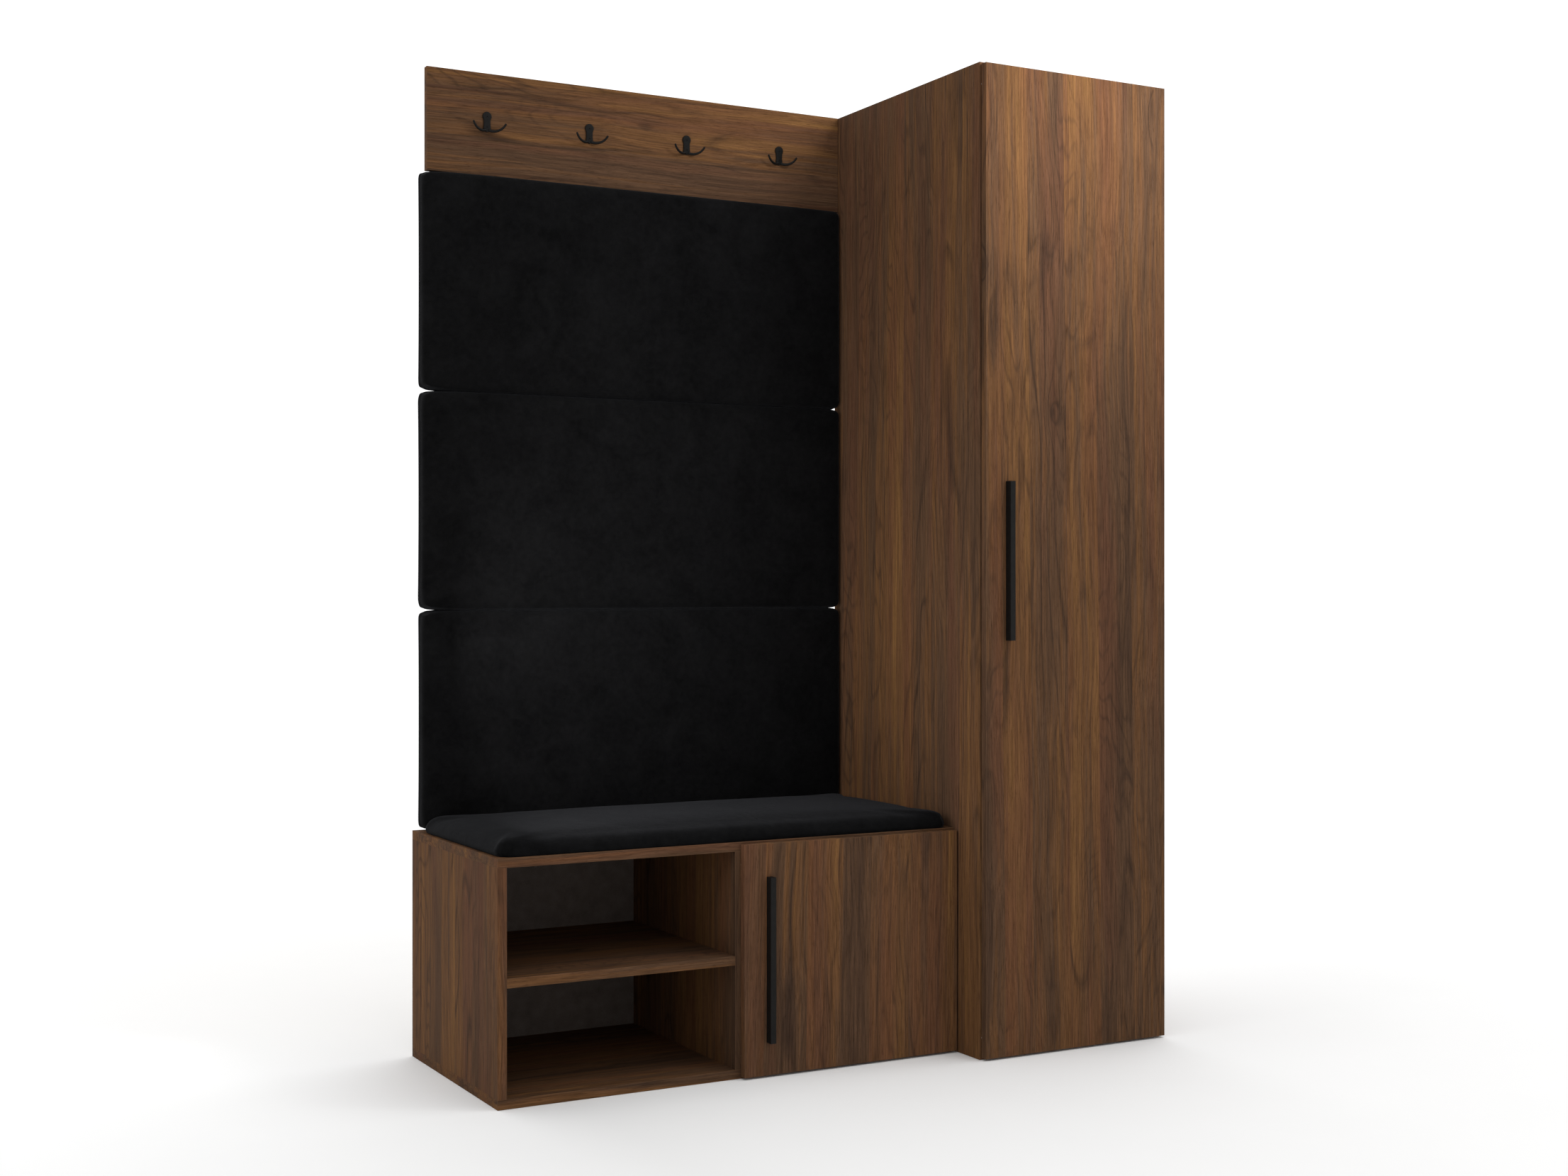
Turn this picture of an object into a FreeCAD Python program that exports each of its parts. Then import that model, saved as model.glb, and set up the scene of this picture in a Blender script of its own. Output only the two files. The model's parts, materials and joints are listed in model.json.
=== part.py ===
import FreeCAD, Part
import os
import re
import Sketcher

# Hallway set: a low shoe bench with a seat cushion, a tall cupboard beside it, three
# upholstered wall panels above the bench and a board with four coat hooks.
# X runs to the right along the wall, Y from the room to the wall, and Z up. The origin is
# on the floor, in the middle of the set's overall box. All sizes are in millimetres.

# ---------------------------------------------------------------- driving dimensions

SIZES = {
    # cabinets, outside their doors
    "tall_width": 460,
    "tall_depth": 578,
    "tall_height": 2000,
    "bench_width": 986,
    "bench_depth": 484,
    "bench_height": 456,
    # boards
    "board": 18,
    "door_board": 16,
    "arris": 0.6,
    "back_sheet": 3,
    "back_inset": 9,
    "groove_depth": 6,
    "groove_play": 0.25,
    "shelf_play": 0.5,
    "shelf_setback": 5,
    "shoe_shelf_level": 219,
    "lower_shelf_level": 330,
    "hat_space": 320,
    # doors
    "door_gap": 2,
    "side_reveal": 3.5,
    "middle_reveal": 2,
    "end_reveal": 4,
    # bar handles: a channel that the fingers hook into from its right side
    "handle_length": 320,
    "handle_width": 12,
    "handle_reach": 17,
    "handle_wall": 2.5,
    "handle_end": 23,
    "handle_setback": 48,
    "handle_round": 0.8,
    "handle_pitch": 288,
    "handle_bolt": 2,
    "handle_bolt_grip": 10,
    "handle_bolt_head": 3.8,
    "handle_bolt_head_height": 2.4,
    # concealed cup hinges
    "hinge_end": 80,
    "tall_hinge_end": 100,
    "cup_radius": 17.5,
    "cup_depth": 11.5,
    "cup_wall": 1.2,
    "cup_centre": 21.5,
    "flange_length": 66,
    "flange_width": 26,
    "flange_sheet": 1,
    "flange_screw_shift": 5.5,
    "flange_screw_pitch": 52,
    "plate_setback": 37,
    "plate_sheet": 2.5,
    "plate_length": 30,
    "plate_width": 16,
    "wing_length": 44,
    "wing_width": 14,
    "plate_screw_pitch": 32,
    "arm_width": 13,
    "arm_thickness": 11,
    "arm_length": 56,
    "arm_start": 4,
    "nose_reach": 7,
    "nose_overlap": 2,
    "nose_width": 11,
    "nose_thickness": 10,
    "nose_side": 12.5,
    # wood screws, shared by every fitting
    "screw_shank": 1.75,
    "screw_length": 13,
    "screw_head": 3.4,
    "screw_head_height": 1.8,
    "cross_width": 0.8,
    "cross_length": 3.6,
    "cross_depth": 1.1,
    "bore_play": 0.1,
    "bore_spare": 0.5,
    # cam fittings and dowels
    "cam_radius": 7.5,
    "cam_depth": 12.5,
    "cam_distance": 34,
    "bolt_thread": 3,
    "bolt_shank": 2.5,
    "bolt_head": 3.2,
    "bolt_head_length": 3,
    "bolt_grip": 10,
    "bolt_bore": 3.5,
    "cam_setback": 60,
    "dowel_radius": 4,
    "dowel_length": 30,
    "dowel_grip": 10,
    "dowel_setback": 105,
    # shelf pins
    "pin_radius": 2.5,
    "pin_grip": 8,
    "pin_reach": 8,
    "pin_setback": 45,
    # bolts that join the two cabinets
    "joiner_radius": 4,
    "joiner_head": 8,
    "joiner_head_height": 1.5,
    "joiner_setback": 150,
    "joiner_end": 70,
    # hanging rail and its end sockets
    "rail_radius": 12.5,
    "rail_wall": 1.5,
    "rail_drop": 60,
    "rail_play": 0.1,
    "socket_radius": 26,
    "socket_sheet": 3,
    "socket_collar": 15.5,
    "socket_depth": 12,
    "socket_screw_pitch": 42,
    # anti-tip wall brackets under the tall cupboard's top
    "bracket_leg": 32,
    "bracket_width": 22,
    "bracket_sheet": 2,
    "bracket_inset": 60,
    "bracket_hole": 2.75,
    "bracket_hole_drop": 18,
    # door buffers
    "buffer_radius": 3,
    "buffer_inset": 3.8,
    "buffer_end": 40,
    "buffer_play": 0.2,
    # hook board
    "hook_board_height": 210,
    "hook_board_thickness": 16,
    "hook_board_inset": 25,
    "hook_board_gap": 1,
    "hook_pitch": 227,
    "hook_drop": 100,
    # coat hooks
    "hook_plate": 3.5,
    "hook_head_radius": 9.5,
    "hook_head_rise": 11.3,
    "hook_foot_radius": 7.5,
    "hook_foot_drop": 13.3,
    "hook_waist": 14,
    "hook_screw_rise": 10.5,
    "hook_screw_drop": 10.5,
    "prong_radius": 2.4,
    "prong_bend": 27.4,
    "prong_root": 4,
    "prong_root_out": 2.6,
    "prong_centre_out": 10.3,
    "prong_centre_rise": 8.4,
    "prong_start_angle": -112,
    "prong_sweep": 83,
    "prong_splay": 27,
    # upholstered wall panels
    "panel_thickness": 40,
    "panel_gap": 2,
    "panel_left_inset": 12,
    "panel_right_gap": 2,
    "panel_corner": 18,
    "panel_edge": 13,
    "panel_board": 10,
    "panel_wrap": 11,
    "hem": 1,
    "hem_width": 35,
    # seat cushion
    "cushion_thickness": 42,
    "cushion_front_inset": 2,
    "cushion_left_inset": 7,
    "cushion_right_inset": 10,
    "cushion_back_gap": 1,
    "cushion_corner": 26,
    "cushion_edge": 21,
    "seat_board": 12,
    "seat_wrap": 14,
    "seat_screw_shank": 2,
    "seat_screw_grip": 8,
    "seat_screw_head": 4,
    "seat_screw_head_height": 2.2,
    "seat_screw_inset": 110,
    # hanger plates let into the backs of the wall panels and the hook board
    "hanger_length": 40,
    "hanger_width": 18,
    "hanger_sheet": 2,
    "hanger_hole": 4,
    "hanger_hole_drop": 2,
    "hanger_slot": 2,
    "hanger_slot_rise": 5,
    "hanger_clearance": 5,
    "hanger_screw_pitch": 30,
    "hanger_screw_shank": 1.5,
    "hanger_screw_length": 7,
    "hanger_screw_head": 2.6,
    "hanger_screw_head_height": 1,
    "hanger_inset": 120,
    "hanger_drop": 60,
    "hook_hanger_drop": 40,
}

# Places that follow from the sizes.
PLACES = {
    "left_end": "-(bench_width + tall_width) / 2",
    "right_end": "(bench_width + tall_width) / 2",
    "seam": "left_end + bench_width",
    "wall": "(tall_depth + door_gap + door_board + handle_reach) / 2",
    "tall_front": "wall - tall_depth",
    "bench_front": "wall - bench_depth",
    "back_face": "wall - back_inset - back_sheet",
    "bench_middle": "left_end + bench_width / 2",
    "bench_ceiling": "bench_height - board",
    "tall_ceiling": "tall_height - board",
    "hat_shelf_level": "tall_height - board - hat_space - board",
    "rail_level": "hat_shelf_level - rail_drop",
    "bench_door_left": "bench_middle + middle_reveal",
    "bench_door_right": "seam - side_reveal",
    "bench_door_back": "bench_front - door_gap",
    "tall_door_left": "seam + side_reveal",
    "tall_door_right": "right_end - side_reveal",
    "tall_door_back": "tall_front - door_gap",
    "side_inner": "side_reveal - board",
    "bench_handle_level": "bench_height / 2",
    "tall_handle_level": "tall_height / 2",
    "hook_board_left": "left_end + hook_board_inset",
    "hook_board_right": "seam - hook_board_gap",
    "hook_board_level": "tall_height - hook_board_height",
    "hook_board_face": "wall - hook_board_thickness",
    "hook_level": "tall_height - hook_drop",
    "panel_left": "left_end + panel_left_inset",
    "panel_width": "bench_width - panel_left_inset - panel_right_gap",
    "panel_pitch": "(hook_board_level - bench_height) / 3",
    "panel_height": "panel_pitch - panel_gap",
    "cushion_left": "left_end + cushion_left_inset",
    "cushion_width": "bench_width - cushion_left_inset - cushion_right_inset",
    "cushion_front": "bench_front + cushion_front_inset",
    "cushion_depth": "bench_depth - cushion_front_inset - panel_thickness - cushion_back_gap",
}

doc = FreeCAD.newDocument("HallwaySet")
sheet = doc.addObject("Spreadsheet::Sheet", "Sizes")
for row, (alias, number) in enumerate(SIZES.items(), start=1):
    sheet.set(f"A{row}", alias)
    sheet.set(f"B{row}", str(number))
    sheet.setAlias(f"B{row}", alias)
doc.recompute()

RIGHT = FreeCAD.Vector(1, 0, 0)
LEFT = FreeCAD.Vector(-1, 0, 0)
BACK = FreeCAD.Vector(0, 1, 0)
FRONT = FreeCAD.Vector(0, -1, 0)
UP = FreeCAD.Vector(0, 0, 1)
DOWN = FreeCAD.Vector(0, 0, -1)

TOUCH = 1e-6

nodes = {}
bores = {}


# ---------------------------------------------------------------- small helpers

def formula(text):
    """An expression of the sheet's cells, from words of SIZES and PLACES."""
    def swap(match):
        word = match.group(0)
        if word in PLACES:
            return "(" + formula(PLACES[word]) + ")"
        return "Sizes." + word if word in SIZES else word
    return re.sub(r"[A-Za-z_]\w*", swap, text)


def bind(item, **expressions):
    for name, text in expressions.items():
        item.setExpression(name, formula(text))
    return item


def place(item, at, turn=None):
    if turn:
        item.Placement = FreeCAD.Placement(FreeCAD.Vector(), turn)
    for axis, text in zip("xyz", at):
        item.setExpression("Placement.Base." + axis, formula(text))
    return item


def turned(z_axis, y_axis):
    """The rotation that takes Z to z_axis and Y to y_axis."""
    return FreeCAD.Rotation(y_axis.cross(z_axis), y_axis, z_axis, "ZYX")


def box(at, size, name="Block"):
    item = doc.addObject("Part::Box", name)
    bind(item, Length=size[0], Width=size[1], Height=size[2])
    return place(item, at)


def rod(at, radius, length, along=UP, name="Rod"):
    item = doc.addObject("Part::Cylinder", name)
    bind(item, Radius=radius, Height=length)
    return place(item, at, FreeCAD.Rotation(UP, along))


def fuse(pieces, name="Union"):
    item = doc.addObject("Part::MultiFuse", name)
    item.Shapes = pieces
    return item


def group(pieces, name="Group"):
    item = doc.addObject("Part::Compound", name)
    item.Links = pieces
    return item


def cut(base, tools, name="Difference"):
    item = doc.addObject("Part::Cut", name)
    item.Base = base
    item.Tool = tools[0] if len(tools) == 1 else group(tools)
    return item


def copy_of(master, at, turn=None):
    item = doc.addObject("App::Link", "Copy")
    item.LinkedObject = master
    item.LinkTransform = True
    return place(item, at, turn)


def node(label, item):
    item.Label = label
    nodes[label] = item
    return item


def bore(board, tool):
    """Notes a cut for a board; finish_board makes it."""
    bores.setdefault(board, []).append(tool)


def finish_board(label, blank):
    return node(label, cut(blank, bores[label]) if label in bores else blank)


# ---------------------------------------------------------------- fasteners

def screw_blank(shank, length, head, head_height, sunk):
    """A cross-head screw along -Z whose head seats at Z = 0."""
    if sunk:
        top = doc.addObject("Part::Cone", "Head")
        bind(top, Radius1=shank, Radius2=head, Height=head_height)
        place(top, ("0", "0", f"-{head_height}"))
        crown = "0"
    else:
        top = rod(("0", "0", "0"), head, head_height)
        crown = head_height
    body = fuse([top, rod(("0", "0", f"-{length}"), shank, length)])
    low = f"{crown} - cross_depth"
    slots = [box(("-cross_width / 2", "-cross_length / 2", low),
                 ("cross_width", "cross_length", "cross_depth + 1")),
             box(("-cross_length / 2", "-cross_width / 2", low),
                 ("cross_length", "cross_width", "cross_depth + 1"))]
    return cut(body, [fuse(slots)])


def pilot_blank(shank, length):
    return rod(("0", "0", f"-({length} + bore_spare)"), f"{shank} + bore_play",
               f"{length} + bore_spare + 1")


wood_screw = screw_blank("screw_shank", "screw_length", "screw_head", "screw_head_height", False)
sunk_screw = screw_blank("screw_shank", "screw_length", "screw_head", "screw_head_height", True)
wood_pilot = pilot_blank("screw_shank", "screw_length")
hanger_screw = screw_blank("hanger_screw_shank", "hanger_screw_length", "hanger_screw_head",
                           "hanger_screw_head_height", True)
hanger_pilot = pilot_blank("hanger_screw_shank", "hanger_screw_length")
seat_screw = screw_blank("seat_screw_shank", "board + hem + seat_screw_grip",
                         "seat_screw_head", "seat_screw_head_height", False)
seat_pilot = pilot_blank("seat_screw_shank", "board + hem + seat_screw_grip")
handle_bolt = screw_blank("handle_bolt", "door_board + handle_bolt_grip", "handle_bolt_head",
                          "handle_bolt_head_height", False)
handle_pilot = pilot_blank("handle_bolt", "door_board + handle_bolt_grip")


def fasten(board, at, out, master=wood_screw, pilot=wood_pilot):
    """One screw with its head on the side that `out` points to, and its hole in the board."""
    side = UP if abs(out.z) < 0.5 else BACK
    turn = turned(out, side)
    bore(board, copy_of(pilot, at, turn))
    return copy_of(master, at, turn)


# ---------------------------------------------------------------- cam fittings and dowels

def cam_masters():
    """Along +Z from the joint: the bolt stands in the face board, the cam in the edge board."""
    bolt = fuse([
        rod(("0", "0", "-bolt_grip"), "bolt_thread", "bolt_grip"),
        rod(("0", "0", "0"), "bolt_shank", "cam_distance"),
        rod(("0", "0", "cam_distance - bolt_head_length / 2"), "bolt_head", "bolt_head_length"),
    ], "CamBolt")
    drum = rod(("0", "board / 2 - cam_depth", "cam_distance"), "cam_radius", "cam_depth", BACK)
    opening = rod(("0", "0", "cam_distance - cam_radius - 1"), "bolt_head + bore_play",
                  "cam_radius + 1 + bolt_head_length")
    slots = [box(("-cross_length", "board / 2 - cross_depth", "cam_distance - cross_width"),
                 ("2 * cross_length", "cross_depth + 1", "2 * cross_width")),
             box(("-cross_width", "board / 2 - cross_depth", "cam_distance - cross_length"),
                 ("2 * cross_width", "cross_depth + 1", "2 * cross_length"))]
    cam = cut(drum, [fuse([opening] + slots)], "CamLock")
    face_bore = rod(("0", "0", "-(bolt_grip + bore_spare)"), "bolt_thread + bore_play",
                    "bolt_grip + bore_spare + 1")
    edge_bore = fuse([
        rod(("0", "0", "-1"), "bolt_bore", "cam_distance + bolt_head_length + 1"),
        rod(("0", "board / 2 - cam_depth - bore_spare", "cam_distance"),
            "cam_radius + bore_play", "cam_depth + bore_spare + 1", BACK),
    ])
    return bolt, cam, face_bore, edge_bore


def dowel_masters():
    dowel = rod(("0", "0", "-dowel_grip"), "dowel_radius", "dowel_length")
    face_bore = rod(("0", "0", "-(dowel_grip + bore_spare)"), "dowel_radius + bore_play",
                    "dowel_grip + bore_spare + 1")
    edge_bore = rod(("0", "0", "-1"), "dowel_radius + bore_play",
                    "dowel_length - dowel_grip + bore_spare + 1")
    return dowel, face_bore, edge_bore


cam_bolt, cam_lock, bolt_face_bore, bolt_edge_bore = cam_masters()
dowel_pin, dowel_face_bore, dowel_edge_bore = dowel_masters()
cam_bolts, cam_locks, dowels = [], [], []


def join(face_board, edge_board, x, z, front, into, shows):
    """Two cam fittings and two dowels along Y, where edge_board butts on face_board."""
    turn = turned(into, shows)
    for y in (f"{front} + cam_setback", "back_face - cam_setback"):
        cam_bolts.append(copy_of(cam_bolt, (x, y, z), turn))
        cam_locks.append(copy_of(cam_lock, (x, y, z), turn))
        bore(face_board, copy_of(bolt_face_bore, (x, y, z), turn))
        bore(edge_board, copy_of(bolt_edge_bore, (x, y, z), turn))
    for y in (f"{front} + dowel_setback", "back_face - dowel_setback"):
        dowels.append(copy_of(dowel_pin, (x, y, z), turn))
        bore(face_board, copy_of(dowel_face_bore, (x, y, z), turn))
        bore(edge_board, copy_of(dowel_edge_bore, (x, y, z), turn))


def carcass_joints():
    bench_uprights = (
        ("bench_left_side", "left_end + board / 2", RIGHT),
        ("bench_divider", "bench_middle", RIGHT),
        ("bench_right_side", "seam - board / 2", LEFT),
    )
    for upright, x, shows in bench_uprights:
        join("bench_bottom", upright, x, "board", "bench_front", UP, shows)
        join("bench_top", upright, x, "bench_ceiling", "bench_front", DOWN, shows)
    shoe_z = "shoe_shelf_level + board / 2"
    join("bench_left_side", "bench_shoe_shelf", "left_end + board", shoe_z, "bench_front",
         RIGHT, DOWN)
    join("bench_divider", "bench_shoe_shelf", "bench_middle - board / 2", shoe_z,
         "bench_front", LEFT, DOWN)
    for flat, z in (("tall_bottom", "board / 2"), ("tall_top", "tall_height - board / 2"),
                    ("tall_hat_shelf", "hat_shelf_level + board / 2")):
        join("tall_left_side", flat, "seam + board", z, "tall_front", RIGHT, DOWN)
        join("tall_right_side", flat, "right_end - board", z, "tall_front", LEFT, DOWN)
    node("cam_bolts", group(cam_bolts))
    node("cam_locks", group(cam_locks))
    node("dowels", group(dowels))


# ---------------------------------------------------------------- shelf pins

def shelf_pins():
    """Pins that carry the two loose shelves, each half in a side and half under the shelf."""
    pin = rod(("0", "0", "-pin_grip"), "pin_radius", "pin_grip + pin_reach")
    hole = rod(("0", "0", "-(pin_grip + bore_spare)"), "pin_radius + bore_play",
               "pin_grip + bore_spare + 1")
    rows = (
        ("bench_divider", "bench_middle + board / 2", RIGHT, "bench_front", "shoe_shelf_level"),
        ("bench_right_side", "seam - board", LEFT, "bench_front", "shoe_shelf_level"),
        ("tall_left_side", "seam + board", RIGHT, "tall_front", "lower_shelf_level"),
        ("tall_right_side", "right_end - board", LEFT, "tall_front", "lower_shelf_level"),
    )
    pins = []
    for board, x, out, front, level in rows:
        for y in (f"{front} + pin_setback", "back_face - pin_setback"):
            at = (x, y, f"{level} - pin_radius")
            pins.append(copy_of(pin, at, turned(out, UP)))
            bore(board, copy_of(hole, at, turned(out, UP)))
    node("shelf_pins", group(pins))


# ---------------------------------------------------------------- hinges and doors

def hinge_masters():
    """One hinge about X = 0 at the door's hinged edge and Y = 0 at the door's inner face."""
    shell = rod(("-cup_centre", "-cup_depth", "0"), "cup_radius", "cup_depth", BACK)
    rim = rod(("-cup_centre", "0", "0"), "cup_radius + flange_sheet", "flange_sheet", BACK)
    flange = box(("-cup_centre - flange_width / 2", "0", "-flange_length / 2"),
                 ("flange_width", "flange_sheet", "flange_length"))
    hollow = rod(("-cup_centre", "cup_wall - cup_depth", "0"), "cup_radius - cup_wall",
                 "cup_depth + flange_sheet", BACK)
    screw_holes = [rod(("-cup_centre - flange_screw_shift", "-1", f"{side} * flange_screw_pitch / 2"),
                       "screw_shank + bore_play", "flange_sheet + 2", BACK) for side in (-1, 1)]
    cup = cut(fuse([shell, rim, flange]), [hollow] + screw_holes, "HingeCup")
    cup_bore = rod(("-cup_centre", "-(cup_depth + bore_spare)", "0"), "cup_radius + bore_play",
                   "cup_depth + bore_spare + 1", BACK)

    plate_y = "door_gap + plate_setback"
    pad = box(("side_inner - plate_sheet", f"{plate_y} - plate_length / 2", "-plate_width / 2"),
              ("plate_sheet", "plate_length", "plate_width"))
    wings = box(("side_inner - plate_sheet", f"{plate_y} - wing_width / 2", "-wing_length / 2"),
                ("plate_sheet", "wing_width", "wing_length"))
    holes = [rod(("side_inner - plate_sheet - 1", plate_y, f"{side} * plate_screw_pitch / 2"),
                 "screw_shank + bore_play", "plate_sheet + 2", RIGHT) for side in (-1, 1)]
    plate = cut(fuse([pad, wings]), holes, "HingePlate")

    arm_x = "side_inner - plate_sheet - arm_thickness"
    bar = box((arm_x, "door_gap + arm_start", "-arm_width / 2"),
              ("arm_thickness", "arm_length", "arm_width"))
    nose = box(("-cup_centre - nose_side", "-nose_reach", "-nose_width / 2"),
               ("nose_thickness", "nose_reach + door_gap + arm_start + nose_overlap", "nose_width"))
    arm = fuse([bar, nose], "HingeArm")
    return cup, cup_bore, plate, arm


hinge_cup, hinge_cup_bore, hinge_plate, hinge_arm = hinge_masters()
hinge_plates, hinge_arms, plate_screws = [], [], []


def hinges(prefix, side_board, edge, back, levels):
    """Hinges of one door: the cups ride on the door, the plates and arms stay on the side."""
    door_label = prefix + "_door"
    cups, cup_screws = [], []
    for level in levels:
        cups.append(copy_of(hinge_cup, (edge, back, level)))
        bore(door_label, copy_of(hinge_cup_bore, (edge, back, level)))
        hinge_plates.append(copy_of(hinge_plate, (edge, back, level)))
        hinge_arms.append(copy_of(hinge_arm, (edge, back, level)))
        for side in (-1, 1):
            cup_screws.append(fasten(door_label, (
                f"{edge} - cup_centre - flange_screw_shift", f"{back} + flange_sheet",
                f"{level} + {side} * flange_screw_pitch / 2"), BACK))
            plate_screws.append(fasten(side_board, (
                f"{edge} + side_inner - plate_sheet", f"{back} + door_gap + plate_setback",
                f"{level} + {side} * plate_screw_pitch / 2"), LEFT))
    node(prefix + "_hinge_cups", group(cups))
    node(prefix + "_cup_screws", group(cup_screws))


def handle(prefix, left, face, level, back):
    """A squared bar with a finger channel in its right side, held by two bolts."""
    body = doc.addObject("PartDesign::Body", prefix + "_handle_body")
    outline = rectangle(body, ("0", "-handle_reach"), ("handle_width", "0"))
    pad = body.newObject("PartDesign::Pad", "HandleBar")
    pad.Profile = outline
    bind(pad, Length="handle_length")
    channel = rectangle(body, ("handle_wall", "handle_wall - handle_reach"),
                        ("handle_width + 1", "-handle_wall"))
    bind(channel, **{".AttachmentOffset.Base.z": "handle_end"})
    pocket = body.newObject("PartDesign::Pocket", "FingerChannel")
    pocket.Profile = channel
    pocket.Reversed = True
    bind(pocket, Length="handle_length - 2 * handle_end")
    doc.recompute()
    front = pocket.Shape.BoundBox.YMin
    soften(body, pocket, "handle_round",
           lambda edge: along_z(edge) and edge.BoundBox.YMin < front + TOUCH)
    x = f"{left} + handle_setback"
    place(body, (x, face, f"{level} - handle_length / 2"))
    bolts = []
    for side in (-1, 1):
        at = (f"{x} + handle_width / 2", back, f"{level} + {side} * handle_pitch / 2")
        bolts.append(fasten(prefix + "_door", at, BACK, handle_bolt, handle_pilot))
        bore(prefix + "_door_handle", bores[prefix + "_door"][-1])
    node(prefix + "_handle_screws", group(bolts))
    finish_board(prefix + "_door_handle", body)


def buffers(prefix, left, back, low, high):
    """Soft dots at the door's opening edge, which close on the carcass."""
    dots = [rod((f"{left} + buffer_inset", back, level), "buffer_radius",
                "door_gap - buffer_play", BACK) for level in (low, high)]
    node(prefix + "_door_buffers", group(dots))


def door(prefix, side_board, left, right, back, height, handle_level, hinge_levels):
    """A door with all that rides on it; its hinges are on its right edge."""
    face = f"{back} - door_board"
    hinges(prefix, side_board, right, back, hinge_levels)
    handle(prefix, left, face, handle_level, back)
    buffers(prefix, left, back, "end_reveal + buffer_end", f"{height} - end_reveal - buffer_end")
    blank = board((left, face, "end_reveal"),
                  (f"{right} - {left}", "door_board", f"{height} - 2 * end_reveal"))
    finish_board(prefix + "_door", blank)


# ---------------------------------------------------------------- sketch-based pieces

def rectangle(body, low, high):
    """A rectangle sketch on the body's XY plane, from corner low to corner high."""
    sketch = body.newObject("Sketcher::SketchObject", "Outline")
    plane = next(f for f in body.Origin.OriginFeatures if f.Role == "XY_Plane")
    sketch.AttachmentSupport = (plane, [""])
    sketch.MapMode = "FlatFace"
    corners = [(0, 0), (10, 0), (10, 10), (0, 10)]
    for start, end in zip(corners, corners[1:] + corners[:1]):
        sketch.addGeometry(Part.LineSegment(FreeCAD.Vector(*start, 0), FreeCAD.Vector(*end, 0)))
    for side in range(4):
        sketch.addConstraint(Sketcher.Constraint("Coincident", side, 2, (side + 1) % 4, 1))
    for side, kind in ((0, "Horizontal"), (1, "Vertical"), (2, "Horizontal"), (3, "Vertical")):
        sketch.addConstraint(Sketcher.Constraint(kind, side))
    for line, corner in ((0, low), (2, high)):
        for kind, text in zip(("DistanceX", "DistanceY"), corner):
            index = sketch.addConstraint(Sketcher.Constraint(kind, -1, 1, line, 1, 1.0))
            sketch.setExpression(f"Constraints[{index}]", formula(text))
    return sketch


def along_z(edge):
    return edge.BoundBox.XLength < TOUCH and edge.BoundBox.YLength < TOUCH


def on_front(edge):
    """True on the edges of the foremost face of a piece whose other faces lie behind it."""
    return edge.BoundBox.YMax < TOUCH


def soften(body, base, radius, wanted):
    names = [f"Edge{n}" for n, edge in enumerate(base.Shape.Edges, start=1) if wanted(edge)]
    fillet = body.newObject("PartDesign::Fillet", "Round")
    fillet.Base = (base, names)
    bind(fillet, Radius=radius)
    doc.recompute()
    return fillet


def padded_slab(label, size, corner, edge_round, board_size, wrap):
    """A padded slab on its XY plane that wraps its board, with a hem turned over behind it."""
    width, height, thickness = size
    body = doc.addObject("PartDesign::Body", label + "_body")
    pad = body.newObject("PartDesign::Pad", "Padding")
    pad.Profile = rectangle(body, ("0", "0"), (width, height))
    bind(pad, Length=thickness)
    doc.recompute()
    rounded = soften(body, pad, corner, along_z)
    top = rounded.Shape.BoundBox.ZMax
    rounded = soften(body, rounded, edge_round, lambda edge: edge.BoundBox.ZMin > top - TOUCH)
    hem_edge = f"({wrap} + hem_width)"
    for name, start, margin, depth in (("Window", "0", hem_edge, "hem + 1"),
                                       ("BoardPocket", "hem", wrap, board_size)):
        outline = rectangle(body, (margin, margin),
                            (f"{width} - {margin}", f"{height} - {margin}"))
        bind(outline, **{".AttachmentOffset.Base.z": start})
        pocket = body.newObject("PartDesign::Pocket", name)
        pocket.Profile = outline
        pocket.Reversed = True
        bind(pocket, Length=depth)
    return node(label, body)


def board(at, size):
    """A board whose front edges are slightly rounded over."""
    body = doc.addObject("PartDesign::Body", "Board")
    slab = body.newObject("PartDesign::AdditiveBox", "Slab")
    bind(slab, Length=size[0], Width=size[1], Height=size[2])
    doc.recompute()
    soften(body, slab, "arris", on_front)
    return place(body, at)


# ---------------------------------------------------------------- cabinets

def back_sheet(label, left, right, low, high, grooved):
    """A thin back let into grooves of the boards around it, and the grooves."""
    sheet_panel = box((f"{left} - groove_depth", "back_face", f"{low} - groove_depth"),
                      (f"{right} - {left} + 2 * groove_depth", "back_sheet",
                       f"{high} - {low} + 2 * groove_depth"))
    groove = box((f"{left} - groove_depth - groove_play", "back_face",
                  f"{low} - groove_depth - groove_play"),
                 (f"{right} - {left} + 2 * groove_depth + 2 * groove_play",
                  "back_sheet + groove_play",
                  f"{high} - {low} + 2 * groove_depth + 2 * groove_play"))
    for board_label in grooved:
        bore(board_label, groove)
    finish_board(label, sheet_panel)


def shelf(label, left, right, front, level):
    """A loose shelf that lies on its pins."""
    finish_board(label, board(
        (f"{left} + shelf_play", f"{front} + shelf_setback", level),
        (f"{right} - {left} - 2 * shelf_play",
         f"back_face - {front} - shelf_setback - shelf_play", "board")))


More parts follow.
